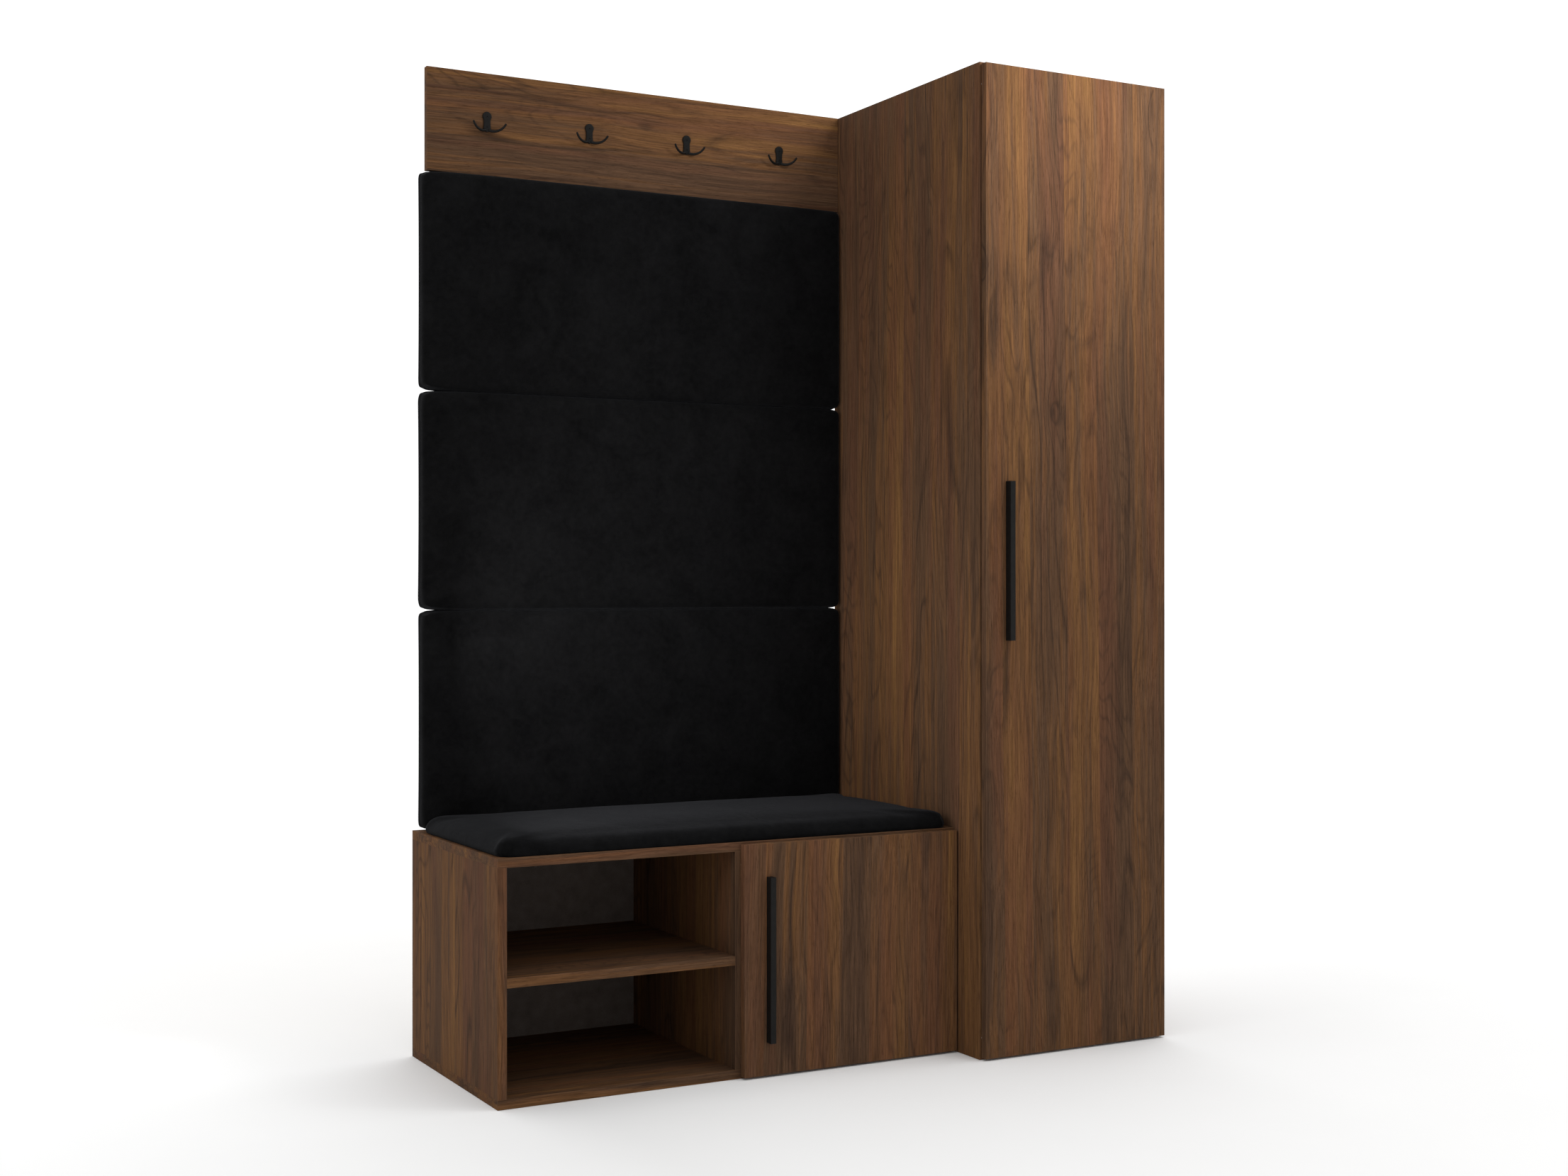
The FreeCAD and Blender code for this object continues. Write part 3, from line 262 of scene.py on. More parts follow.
# One entry for each board: the way its grain runs, where in the log it was cut, how far the
# grain leans in degrees, and whether its rear edge is bare.
boards = {
    "tall_door": ("z", (3.10, 0.40, 1.90), 0.6, False),
    "bench_door": ("z", (5.32, 1.20, 0.35), -0.8, False),
    "tall_left_side": ("z", (1.70, 2.60, 3.30), 0.5, True),
    "tall_right_side": ("z", (8.10, 3.10, 2.20), -0.4, True),
    "bench_left_side": ("z", (2.20, 4.70, 0.80), 0.8, True),
    "bench_divider": ("z", (6.60, 5.20, 4.10), -0.6, False),
    "bench_right_side": ("z", (4.50, 6.40, 1.50), 0.4, True),
    "bench_top": ("x", (0.60, 7.10, 2.90), 0.7, True),
    "bench_bottom": ("x", (7.30, 8.30, 5.10), -0.5, True),
    "bench_shoe_shelf": ("x", (9.20, 2.30, 6.40), 0.3, False),
    "bench_inner_shelf": ("x", (1.20, 9.60, 7.70), 0.6, False),
    "tall_top": ("x", (5.90, 0.80, 8.20), -0.3, True),
    "tall_bottom": ("x", (3.80, 7.70, 9.30), 0.5, True),
    "tall_hat_shelf": ("x", (8.80, 6.20, 1.10), 0.2, False),
    "tall_lower_shelf": ("x", (2.90, 5.60, 3.70), -0.4, False),
    "hook_board": ("x", (4.15, 1.90, 6.85), 0.5, False),
}
grainTurns = {"z": (0.0, 0.0, 0.0), "x": (0.0, -math.pi / 2, 0.0)}
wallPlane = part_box("tall_left_side")[1].y


def boardMaterial(name, grain, cut, lean, bareBack):
    made, tree, shader, place = newMaterial("walnut." + name)
    turn = Vector(grainTurns[grain]) + Vector((0.0, math.radians(lean), 0.0))
    placed = addNode(tree, "ShaderNodeMapping", {"Vector": place, "Location": cut,
                                                 "Rotation": turn}).outputs[0]
    figure = addNode(tree, "ShaderNodeGroup", node_tree=figureGroup)
    tree.links.new(placed, figure.inputs["Place"])
    # the rounded arrises get a painted highlight, a lighter colour standing in for the light they
    # catch
    normal = addNode(tree, "ShaderNodeTexCoord").outputs["Normal"]
    faces = addNode(tree, "ShaderNodeSeparateXYZ", {0: addNode(
        tree, "ShaderNodeVectorMath", {0: normal}, operation="ABSOLUTE").outputs[0]})
    flat = calc(tree, "MAXIMUM", faces.outputs[0],
                calc(tree, "MAXIMUM", faces.outputs[1], faces.outputs[2]))
    arris = calc(tree, "MULTIPLY", calc(tree, "LESS_THAN", flat, walnut["flatness"]),
                 walnut["arrisWear"])
    colour = mixColour(tree, "MIX", arris, figure.outputs["Colour"], walnut["arrisColour"])
    if bareBack:
        chips = addNode(tree, "ShaderNodeGroup", node_tree=chipGroup)
        tree.links.new(place, chips.inputs["Place"])
        rear = calc(tree, "MULTIPLY", calc(tree, "GREATER_THAN", faces.outputs[1], 0.9),
                    calc(tree, "GREATER_THAN", addNode(
                        tree, "ShaderNodeSeparateXYZ", {0: place}).outputs[1],
                        wallPlane - 0.001))
        colour = mixColour(tree, "MIX", rear, colour, chips.outputs["Colour"])
    tree.links.new(colour, shader.inputs["Base Color"])
    tree.links.new(figure.outputs["Gloss"], shader.inputs["Roughness"])
    relief(tree, shader, figure.outputs["Relief"], walnut["reliefDepth"],
           walnut["reliefStrength"])
    shader.inputs["Specular IOR Level"].default_value = walnut["specular"]
    return made


# Velvet: short dense pile that lies one way here and another there. Its colour mixes the pile's
# own fine grain with painted sheen: lighter patches standing in for the light the pile catches
# where it lies another way.
velvet = {
    "deep": (0.0020, 0.0020, 0.0021),
    "raised": (0.0074, 0.0074, 0.0077),
    "sheen": 0.048,
    "sheenRoughness": 0.42,
    "sheenTint": (0.80, 0.82, 0.90, 1),
    "layScale": 11.0,      # patches where the pile is brushed another way
    "tuftScale": 1500.0,
    "share": (0.30, 0.25, 0.45),            # lay, brushing and tufts in the colour
    "rise": (1.6, 0.8, 0.35),               # the same in the relief
    "reliefDepth": 0.0014, "reliefStrength": 0.7,
    "roughness": (0.72, 0.25),              # least, and added by the tufts
    "specular": 0.02,
}


def velvetMaterial(name, shift, shade):
    made, tree, shader, place = newMaterial(name)
    placed = addNode(tree, "ShaderNodeMapping", {"Vector": place, "Location": shift}).outputs[0]
    lay = noiseAt(tree, placed, velvet["layScale"], 3.0, 0.55, 0.8).outputs["Fac"]
    brushed = noiseAt(tree, placed, velvet["layScale"] * 7, 3.0, 0.6, 0.4).outputs["Fac"]
    tufts = noiseAt(tree, placed, velvet["tuftScale"], 2.0, 0.7).outputs["Fac"]
    shares = [calc(tree, "MULTIPLY", part, share)
              for part, share in zip((lay, brushed, tufts), velvet["share"])]
    tone = calc(tree, "ADD", shares[0], calc(tree, "ADD", shares[1], shares[2]))
    # shade scales both colours; below 1 it is painted shade on a darker copy of the same velvet
    deep, raised = (tuple(shade * c for c in velvet[each]) for each in ("deep", "raised"))
    # the lighter end of this ramp is painted sheen from the lay and brushing patches
    tree.links.new(ramp(tree, tone, [(0.36, deep), (0.66, raised)]),
                   shader.inputs["Base Color"])
    least, added = velvet["roughness"]
    tree.links.new(calc(tree, "ADD", least, calc(tree, "MULTIPLY", tufts, added)),
                   shader.inputs["Roughness"])
    rises = [calc(tree, "MULTIPLY", part, rise)
             for part, rise in zip((lay, brushed, tufts), velvet["rise"])]
    height = calc(tree, "ADD", rises[2], calc(tree, "ADD", rises[0], rises[1]))
    relief(tree, shader, height, velvet["reliefDepth"], velvet["reliefStrength"])
    shader.inputs["Specular IOR Level"].default_value = velvet["specular"]
    shader.inputs["Sheen Weight"].default_value = velvet["sheen"]
    shader.inputs["Sheen Roughness"].default_value = velvet["sheenRoughness"]
    shader.inputs["Sheen Tint"].default_value = velvet["sheenTint"]
    return made


# Plain finishes: darkest and lightest colour, how the grain is drawn out and how fine it is,
# least and most roughness, and relief depth.
finishes = {
    "black_metal": {"low": (0.0040, 0.0037, 0.0034), "high": (0.0075, 0.0070, 0.0065),
                    "stretch": (1, 1, 1), "scale": 1300.0, "roughness": (0.40, 0.54),
                    "depth": 0.00005, "metallic": 0.0, "specular": 0.13},
    "zinc_steel": {"low": (0.42, 0.43, 0.44), "high": (0.62, 0.62, 0.60),
                   "stretch": (1, 1, 1), "scale": 420.0, "roughness": (0.24, 0.42),
                   "depth": 0.00003, "metallic": 1.0, "specular": 0.5},
    "rail_chrome": {"low": (0.66, 0.67, 0.69), "high": (0.78, 0.78, 0.79),
                    "stretch": (0.02, 1, 1), "scale": 900.0, "roughness": (0.08, 0.20),
                    "depth": 0.00001, "metallic": 1.0, "specular": 0.5},
    "clear_rubber": {"low": (0.52, 0.52, 0.50), "high": (0.64, 0.64, 0.61),
                     "stretch": (1, 1, 1), "scale": 700.0, "roughness": (0.34, 0.50),
                     "depth": 0.00002, "metallic": 0.0, "specular": 0.5},
    "hardboard": {"low": (0.080, 0.062, 0.052), "high": (0.135, 0.108, 0.092),
                  "stretch": (1, 1, 1), "scale": 520.0, "roughness": (0.62, 0.80),
                  "depth": 0.00008, "metallic": 0.0, "specular": 0.25},
    "beech": {"low": (0.50, 0.33, 0.19), "high": (0.64, 0.46, 0.29),
              "stretch": (0.08, 1, 1), "scale": 600.0, "roughness": (0.5, 0.7),
              "depth": 0.00005, "metallic": 0.0, "specular": 0.3},
    "plywood": {"low": (0.42, 0.29, 0.17), "high": (0.60, 0.45, 0.29),
                "stretch": (0.06, 1, 1), "scale": 170.0, "roughness": (0.5, 0.72),
                "depth": 0.00012, "metallic": 0.0, "specular": 0.28},
}


def finishMaterial(name):
    look = finishes[name]
    made, tree, shader, place = newMaterial(name)
    fine = noiseAt(tree, scaled(tree, place, look["stretch"]), look["scale"],
                   3.0, 0.6).outputs["Fac"]
    soft = noiseAt(tree, scaled(tree, place, look["stretch"]), look["scale"] / 14,
                   2.0, 0.5).outputs["Fac"]
    tone = calc(tree, "ADD", calc(tree, "MULTIPLY", fine, 0.5), calc(tree, "MULTIPLY", soft, 0.5))
    tree.links.new(ramp(tree, tone, [(0.34, look["low"]), (0.66, look["high"])]),
                   shader.inputs["Base Color"])
    low, high = look["roughness"]
    tree.links.new(calc(tree, "ADD", low, calc(tree, "MULTIPLY", tone, high - low)),
                   shader.inputs["Roughness"])
    relief(tree, shader, fine, look["depth"])
    shader.inputs["Metallic"].default_value = look["metallic"]
    shader.inputs["Specular IOR Level"].default_value = look["specular"]
    return made


materials = {name: finishMaterial(name) for name in finishes}
slots = {part["node"]: part["material_slot"] for part in frame["record"]["subparts"]}


def assign(item, material):
    for materialSlot in item.material_slots:
        materialSlot.material = material
    if not item.material_slots:
        item.data.materials.append(material)


for name, item in nodes.items():
    if name in boards:
        assign(item, boardMaterial(name, *boards[name]))
    elif slots[name] in materials:
        assign(item, materials[slots[name]])
print("finishes given to the boards and fittings")


def newPiece(name, mesh, material, body="cabinets"):
    item = bpy.data.objects.new(name, mesh)
    bpy.context.scene.collection.objects.link(item)
    if material:
        mesh.materials.clear()
        mesh.materials.append(material)
    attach(item, body)
    return item


def settled(item):
    graph = bpy.context.evaluated_depsgraph_get()
    return bpy.data.meshes.new_from_object(item.evaluated_get(graph),
                                           preserve_all_data_layers=True, depsgraph=graph)


# Padded slabs. In their own frame X is the width, Y the height and Z the thickness, with the
# board at Z = 0; sizes are in metres.
wallPanels = {
    "cell": 0.0075, "corner": 0.019, "edge": 0.015, "backEdge": 0.003, "shrink": 0.0005,
    "crown": 0.0025, "domed": 6.0, "pull": 0.0028, "thin": 0.0045, "cap": 0.0045,
    "pressure": 4.0, "board": 0.010, "wrap": 0.011, "pleats": 0.0006, "fill": 0.75,
    "ends": (2.2, 0.35), "shade": 1.0,      # pull at the free end and at the cupboard's end
}
seatCushion = {
    "cell": 0.0075, "corner": 0.033, "edge": 0.024, "backEdge": 0.005, "shrink": 0.0010,
    "crown": 0.0105, "domed": 2.6, "pull": 0.0020, "thin": 0.0135, "cap": 0.0060,
    "pressure": 4.0, "board": 0.012, "wrap": 0.014, "pleats": 0.0008, "fill": 0.7,
    # shade: the seat's velvet is a darker copy of the panels' velvet, painted shade that holds
    # down the extra light its top catches
    "ends": (1.0, 1.0), "shade": 0.84,
}
hem = {"thickness": 0.001, "width": 0.035, "clear": 0.0004}
cover = {"quality": 4, "mass": 0.25, "stretch": 18, "shear": 6, "bending": 0.6, "frames": 20,
         "rise": 0.004, "past": 0.00103, "slice": 0.006, "straight": 0.7}


def slabShell(counts):
    # quads of a closed box, its corners numbered by cell
    across, up, deep = counts
    index, points, faces = {}, [], []

    def corner(i, j, k):
        if (i, j, k) not in index:
            index[i, j, k] = len(points)
            points.append(Vector((i / across, j / up, k / deep)))
        return index[i, j, k]

    def quad(cells, outward):
        face = [corner(*cell) for cell in cells]
        faces.append(face if outward else face[::-1])

    for i in range(across):
        for j in range(up):
            for k in (0, deep):
                quad([(i, j, k), (i + 1, j, k), (i + 1, j + 1, k), (i, j + 1, k)], k)
    for k in range(deep):
        for j in range(up):
            for i in (0, across):
                quad([(i, j, k), (i, j + 1, k), (i, j + 1, k + 1), (i, j, k + 1)], i)
        for i in range(across):
            for j in (0, up):
                quad([(i, j, k), (i, j, k + 1), (i + 1, j, k + 1), (i + 1, j, k)], j)
    return points, faces


def rounded(first, second):
    # square corner to quarter circle, when both run past their straight parts
    if first <= 0 or second <= 0:
        return first, second
    reach = max(first, second) / math.hypot(first, second)
    return first * reach, second * reach


def slabPoint(unit, half, thickness, look, seed):
    across, up = 2 * unit.x - 1, 2 * unit.y - 1
    pull = look["pull"]
    x = across * (half[0] - look["shrink"] - pull * abs(up) ** 12)
    pull *= look["ends"][across > 0]
    y = up * (half[1] - look["shrink"] - pull * abs(across) ** 12)
    z = unit.z * (thickness - look["thin"])
    inner = [half[axis] - look["shrink"] - look["corner"] for axis in (0, 1)]
    out = [abs(x) - inner[0], abs(y) - inner[1]]
    round0, round1 = rounded(*out)
    signX, signY = math.copysign(1, x), math.copysign(1, y)
    x, y = signX * (inner[0] + round0), signY * (inner[1] + round1)
    # distance in from the outline, and the way out
    outX, outY = max(round0, 0), max(round1, 0)
    if outX or outY:
        reach = math.hypot(outX, outY)
        way = Vector((signX * outX / reach, signY * outY / reach))
        inside = look["corner"] - reach
    else:
        inside = look["corner"] - max(round0, round1)
        way = Vector((signX, 0)) if round0 > round1 else Vector((0, signY))
    top = thickness - look["thin"]
    for radius, height in ((look["edge"], z - (top - look["edge"])),
                           (look["backEdge"], look["backEdge"] - z)):
        sideways, rise = rounded(radius - inside, height)
        if radius - inside > 0 and height > 0:
            x += way.x * (sideways - (radius - inside))
            y += way.y * (sideways - (radius - inside))
            z += (rise - height) * (1 if radius == look["edge"] else -1)
            break
    lift = (1 - abs(across) ** look["domed"]) * (1 - abs(up) ** look["domed"])
    z += look["crown"] * lift * unit.z
    z += 0.0009 * noise.noise(Vector((x * 7, y * 7, seed))) * lift * unit.z
    # small folds gathered round each corner
    if outX and outY:
        angle = math.atan2(outY, outX)
        fold = 0.5 + 0.5 * math.cos(angle * 14 + seed)
        depth = look["pleats"] * fold * math.sin(2 * angle) * (1 - unit.z) ** 0.5
        x -= way.x * depth
        y -= way.y * depth
    return Vector((x, y, z))


def inflate(item, look, half, thickness):
    # cloth filled with air, held along its back; returns where its points come to rest
    back = item.vertex_groups.new(name="back")
    back.add([v.index for v in item.data.vertices if v.co.z < 0.0004], 1.0, "REPLACE")
    cloth = item.modifiers.new("filling", "CLOTH")
    cloth.settings.quality = cover["quality"]
    cloth.settings.mass = cover["mass"]
    cloth.settings.tension_stiffness = cover["stretch"]
    cloth.settings.compression_stiffness = cover["stretch"]
    cloth.settings.shear_stiffness = cover["shear"]
    cloth.settings.bending_stiffness = cover["bending"]
    cloth.settings.use_pressure = True
    cloth.settings.uniform_pressure_force = look["pressure"]
    cloth.settings.vertex_group_mass = "back"
    cloth.settings.effector_weights.gravity = 0
    cloth.collision_settings.use_collision = False
    cloth.point_cache.frame_start, cloth.point_cache.frame_end = 1, cover["frames"]
    scene = bpy.context.scene
    for step in range(1, cover["frames"] + 1):
        scene.frame_set(step)
    filled = settled(item)
    for before, after in zip(item.data.vertices, filled.vertices):
        travel = after.co - before.co
        if travel.length > look["cap"]:
            travel *= look["cap"] / travel.length
        after.co = before.co + travel
        after.co.z = max(0.0, min(thickness + cover["rise"], after.co.z))
    item.modifiers.remove(cloth)
    scene.frame_set(1)
    return filled


def drawTight(mesh, half):
    # the cover is tight: along each side most of it reaches just past the outline
    for axis in (0, 1):
        slices = {}
        for vert in mesh.vertices:
            along = vert.co[1 - axis]
            if abs(along) < cover["straight"] * half[1 - axis]:
                number = round(along / cover["slice"])
                slices[number] = max(slices.get(number, 0.0), abs(vert.co[axis]))
        reaches = sorted(slices.values())
        limit = half[axis] + cover["past"]
        stretch = limit / reaches[len(reaches) // 12]
        for vert in mesh.vertices:
            vert.co[axis] = max(-limit, min(limit, vert.co[axis] * stretch))


def openBack(mesh, look, half):
    # cuts the window behind, turns the hem over and lines the pocket for the board
    shell = bmesh.new()
    shell.from_mesh(mesh)
    window = [half[axis] - look["wrap"] - hem["width"] for axis in (0, 1)]
    inside = [face for face in shell.faces
              if max(v.co.z for v in face.verts) < 0.0003
              and abs(face.calc_center_median().x) < window[0]
              and abs(face.calc_center_median().y) < window[1]]
    bmesh.ops.delete(shell, geom=inside, context="FACES")
    loop = [edge for edge in shell.edges if edge.is_boundary]

    def step(edges, spread, rise):
        grown = bmesh.ops.extrude_edge_only(shell, edges=edges)["geom"]
        for vert in [item for item in grown if isinstance(item, bmesh.types.BMVert)]:
            vert.co.x *= spread[0]
            vert.co.y *= spread[1]
            vert.co.z += rise
        return [item for item in grown
                if isinstance(item, bmesh.types.BMEdge) and item.is_boundary]

    loop = step(loop, (1, 1), hem["thickness"])
    loop = step(loop, [1 + hem["width"] / size for size in window], 0)
    loop = step(loop, (1, 1), look["board"] + hem["clear"])
    lining = bmesh.ops.holes_fill(shell, edges=loop, sides=0)["faces"]
    bmesh.ops.triangulate(shell, faces=lining)
    bmesh.ops.recalc_face_normals(shell, faces=shell.faces)
    shell.to_mesh(mesh)
    shell.free()


def paddedSlab(name, node, look, turn, seed):
    low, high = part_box(node)
    size = Matrix(turn).transposed() @ (high - low)
    half = (abs(size.x) / 2, abs(size.y) / 2)
    thickness = abs(size.z)
    deepRows = max(3, round(thickness / look["cell"]))
    counts = (round(2 * half[0] / look["cell"]), round(2 * half[1] / look["cell"]), deepRows)
    points, faces = slabShell(counts)
    blank = bpy.data.meshes.new(name)
    blank.from_pydata([slabPoint(point, half, thickness, look, seed) for point in points],
                      [], faces)
    blank.polygons.foreach_set("use_smooth", [True] * len(faces))
    item = bpy.data.objects.new(name + ".blank", blank)
    bpy.context.scene.collection.objects.link(item)
    item.data = inflate(item, look, half, thickness)
    finer = item.modifiers.new("finer", "SUBSURF")
    finer.levels = finer.render_levels = 1
    mesh = settled(item)
    mesh.name = name
    bpy.data.objects.remove(item)
    drawTight(mesh, half)
    openBack(mesh, look, half)
    mesh.polygons.foreach_set("use_smooth", [True] * len(mesh.polygons))
    place = Matrix(turn).to_4x4()
    middle = (low + high) / 2
    toBack = Matrix(turn) @ Vector((0, 0, thickness / 2))
    place.translation = middle - toBack
    mesh.transform(place)
    cloth = velvetMaterial(name + ".velvet", (seed, seed * 0.7, 0), look["shade"])
    pad = newPiece(name, mesh, cloth)
    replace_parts(pad, node)
    print(name, "filled:", len(mesh.polygons), "faces")
    return half, place


# The back hems are stapled to the boards: a run of staples set along a rectangle.
staples = {"crown": 0.010, "wire": 0.00045, "proud": 0.0003, "pitch": 0.042, "inset": 0.018,
           "turn": 0.30, "seed": 7}


def groupFor(name, inputs):
    tree = bpy.data.node_groups.new(name, "GeometryNodeTree")
    for socketName, kind in inputs:
        tree.interface.new_socket(socketName, in_out="INPUT", socket_type=kind)
    tree.interface.new_socket("Geometry", in_out="OUTPUT", socket_type="NodeSocketGeometry")
    return tree, tree.nodes.new("NodeGroupInput").outputs, tree.nodes.new("NodeGroupOutput")


def scattered(tree, entry, out, points, along=None):
    # one copy on each point, turned a little either way, made real and given its finish
    spread = addNode(tree, "FunctionNodeRandomValue", {
        "Min": (0, 0, 0), "Max": (0, 0, 1), "Seed": entry["Seed"]}, data_type="FLOAT_VECTOR")
    turn = scaled(tree, addNode(tree, "ShaderNodeVectorMath", {
        0: spread.outputs["Value"], 1: (0, 0, 0.5)}, operation="SUBTRACT").outputs[0], (1, 1, 2))
    turn = addNode(tree, "ShaderNodeVectorMath", {0: turn, "Scale": entry["Turn"]},
                   operation="SCALE").outputs[0]
    rotation = addNode(tree, "FunctionNodeEulerToRotation", {0: turn}).outputs[0]
    if along:
        rotation = addNode(tree, "FunctionNodeRotateRotation", {
            "Rotation": addNode(tree, "FunctionNodeAlignRotationToVector", {
                "Vector": along}, axis="X", pivot_axis="Z").outputs[0],
            "Rotate By": rotation}, rotation_space="LOCAL").outputs[0]
    copies = addNode(tree, "GeometryNodeInstanceOnPoints", {
        "Points": points, "Instance": addNode(tree, "GeometryNodeObjectInfo", {
            "Object": entry["Fastener"]}).outputs["Geometry"], "Rotation": rotation})
    real = addNode(tree, "GeometryNodeRealizeInstances", {"Geometry": copies.outputs[0]})
    finished = addNode(tree, "GeometryNodeSetMaterial", {
        "Geometry": real.outputs[0], "Material": entry["Finish"]})
    tree.links.new(finished.outputs[0], out.inputs["Geometry"])


def stapleRun():
    tree, entry, out = groupFor("stapleRun", [
        ("Width", "NodeSocketFloat"), ("Height", "NodeSocketFloat"), ("Pitch", "NodeSocketFloat"),
        ("Fastener", "NodeSocketObject"), ("Finish", "NodeSocketMaterial"),
        ("Turn", "NodeSocketFloat"), ("Seed", "NodeSocketInt")])
    outline = addNode(tree, "GeometryNodeCurvePrimitiveQuadrilateral", {
        "Width": entry["Width"], "Height": entry["Height"]}).outputs[0]
    dots = addNode(tree, "GeometryNodeResampleCurve", {
        "Curve": outline, "Length": entry["Pitch"]}, mode="LENGTH").outputs[0]
    scattered(tree, entry, out, dots, addNode(tree, "GeometryNodeInputTangent").outputs[0])
    return tree


def screwRow():
    tree, entry, out = groupFor("screwRow", [
        ("Geometry", "NodeSocketGeometry"), ("Fastener", "NodeSocketObject"),
        ("Finish", "NodeSocketMaterial"), ("Turn", "NodeSocketFloat"),
        ("Seed", "NodeSocketInt")])
    scattered(tree, entry, out, entry["Geometry"])
    return tree


def grownMesh(tree, host, settings):
    # the tree's result on a host mesh as a plain mesh
    item = bpy.data.objects.new(tree.name + ".host", host)
    bpy.context.scene.collection.objects.link(item)
    modifier = item.modifiers.new(tree.name, "NODES")
    modifier.node_group = tree
    for socket in tree.interface.items_tree:
        if socket.in_out == "INPUT" and socket.name in settings:
            modifier[socket.identifier] = settings[socket.name]
    mesh = settled(item)
    bpy.data.objects.remove(item)
    return mesh


def wireMesh(name, path, radii, sides=2):
    # a round wire along points, its ends closed
    curve = bpy.data.curves.new(name, "CURVE")
    curve.dimensions, curve.bevel_depth, curve.bevel_resolution = "3D", 1.0, sides
    curve.use_fill_caps = True
    line = curve.splines.new("POLY")
    line.points.add(len(path) - 1)
    for point, spot, radius in zip(line.points, path, radii):
        point.co, point.radius = (*spot, 1), radius
    item = bpy.data.objects.new(name, curve)
    bpy.context.scene.collection.objects.link(item)
    mesh = settled(item)
    bpy.data.objects.remove(item)
    return mesh


def hiddenObject(name, mesh):
    # a source for copies, kept out of the scene
    return bpy.data.objects.new(name, mesh)


def stapleMesh():
    side, top = staples["crown"] / 2, staples["proud"]
    path = [(-side, 0, -0.001), (-side, 0, top - 0.0003), (-side + 0.0004, 0, top),
            (side - 0.0004, 0, top), (side, 0, top - 0.0003), (side, 0, -0.001)]
    return wireMesh("staple", path, [staples["wire"]] * len(path), 1)


staple, stapleTree = hiddenObject("staple", stapleMesh()), stapleRun()


def stapleHem(name, half, look, place, seed):
    reach = look["wrap"] + staples["inset"]
    mesh = grownMesh(stapleTree, bpy.data.meshes.new(name), {
        "Width": 2 * (half[0] - reach), "Height": 2 * (half[1] - reach),
        "Pitch": staples["pitch"], "Fastener": staple, "Finish": materials["zinc_steel"],
        "Turn": staples["turn"], "Seed": seed})
    mesh.transform(place @ Matrix.Rotation(math.pi, 4, "X"))
    newPiece(name, mesh, None)


standing = ((1, 0, 0), (0, 0, -1), (0, 1, 0))    # thickness towards the room
lying = ((1, 0, 0), (0, 1, 0), (0, 0, 1))        # thickness upwards
for number in (1, 2, 3):
    half, place = paddedSlab(f"wallPanel{number}", f"panel_pad_{number}", wallPanels, standing,
                             3.7 * number)
    stapleHem(f"panelStaples{number}", half, wallPanels, place, staples["seed"] + number)
paddedSlab("seatCushion", "seat_pad", seatCushion, lying, 19.3)


# Coat hooks: a waisted plate with two sunk holes, and two tapered prongs.
coatHook = {
    "deep": 0.0035, "arris": 0.0009, "headRadius": 0.0095, "headRise": 0.0113,
    "footRadius": 0.0075, "footDrop": 0.0133, "waist": 0.0071, "blend": 0.0022,
    "rootOut": 0.004, "rootForward": 0.0026, "bend": 0.0274, "centreOut": 0.0103,
    "centreRise": 0.0084, "startAngle": -112, "sweep": 83, "splay": 27,
    "rootThickness": 0.0029, "tipThickness": 0.0021, "screwRise": 0.0105,
    "holeRadius": 0.0035, "holeDeep": 0.0020,
}


def plateReach(angle, inset):
    # distance from the plate's middle to its outline, found by halving
    def outside(x, z):
        head = math.hypot(x, z - coatHook["headRise"]) - coatHook["headRadius"]
        foot = math.hypot(x, z + coatHook["footDrop"]) - coatHook["footRadius"]
        past = max(z - coatHook["headRise"], -coatHook["footDrop"] - z)
        best = max(abs(x) - coatHook["waist"], past)
        for other in (head, foot):
            share = max(coatHook["blend"] - abs(best - other), 0) / coatHook["blend"]
            best = min(best, other) - share * share * coatHook["blend"] / 4
        return best + inset > 0
    near, far = 0.0, 0.03
    for turn in range(24):
        middle = (near + far) / 2
        if outside(middle * math.cos(angle), middle * math.sin(angle)):
            far = middle
        else:
            near = middle
    return near


def ringsMesh(name, rings):
    # rings of equal length joined in order, the two ends filled
    shell = bmesh.new()
    rows = [[shell.verts.new(point) for point in ring] for ring in rings]
    for low, high in zip(rows, rows[1:]):
        for index in range(len(low)):
            after = (index + 1) % len(low)
            shell.faces.new((low[index], low[after], high[after], high[index]))
    shell.faces.new(rows[0][::-1])
    shell.faces.new(rows[-1])
    bmesh.ops.recalc_face_normals(shell, faces=shell.faces)
    mesh = bpy.data.meshes.new(name)
    shell.to_mesh(mesh)
    shell.free()
    return mesh


def turnedMesh(name, profile, sides):
    # a profile of (radius, height) turned about Z
    return ringsMesh(name, [[(radius * math.cos(2 * math.pi * k / sides),
                              radius * math.sin(2 * math.pi * k / sides), height)
                             for k in range(sides)] for radius, height in profile])


def carved(mesh, cutter):
    item, tool = (bpy.data.objects.new("carve", each) for each in (mesh, cutter))
    for each in (item, tool):
        bpy.context.scene.collection.objects.link(each)
    carve = item.modifiers.new("carve", "BOOLEAN")
    carve.object, carve.operation, carve.solver = tool, "DIFFERENCE", "EXACT"
    result = settled(item)
    bpy.data.objects.remove(item)
    bpy.data.objects.remove(tool)
    return result


def joined(name, meshes):
    whole = bmesh.new()
    for mesh in meshes:
        whole.from_mesh(mesh)
    result = bpy.data.meshes.new(name)
    whole.to_mesh(result)
    whole.free()
    return result


def softenShading(mesh, angle=35):
    mesh.polygons.foreach_set("use_smooth", [True] * len(mesh.polygons))
    mesh.set_sharp_from_angle(angle=math.radians(angle))


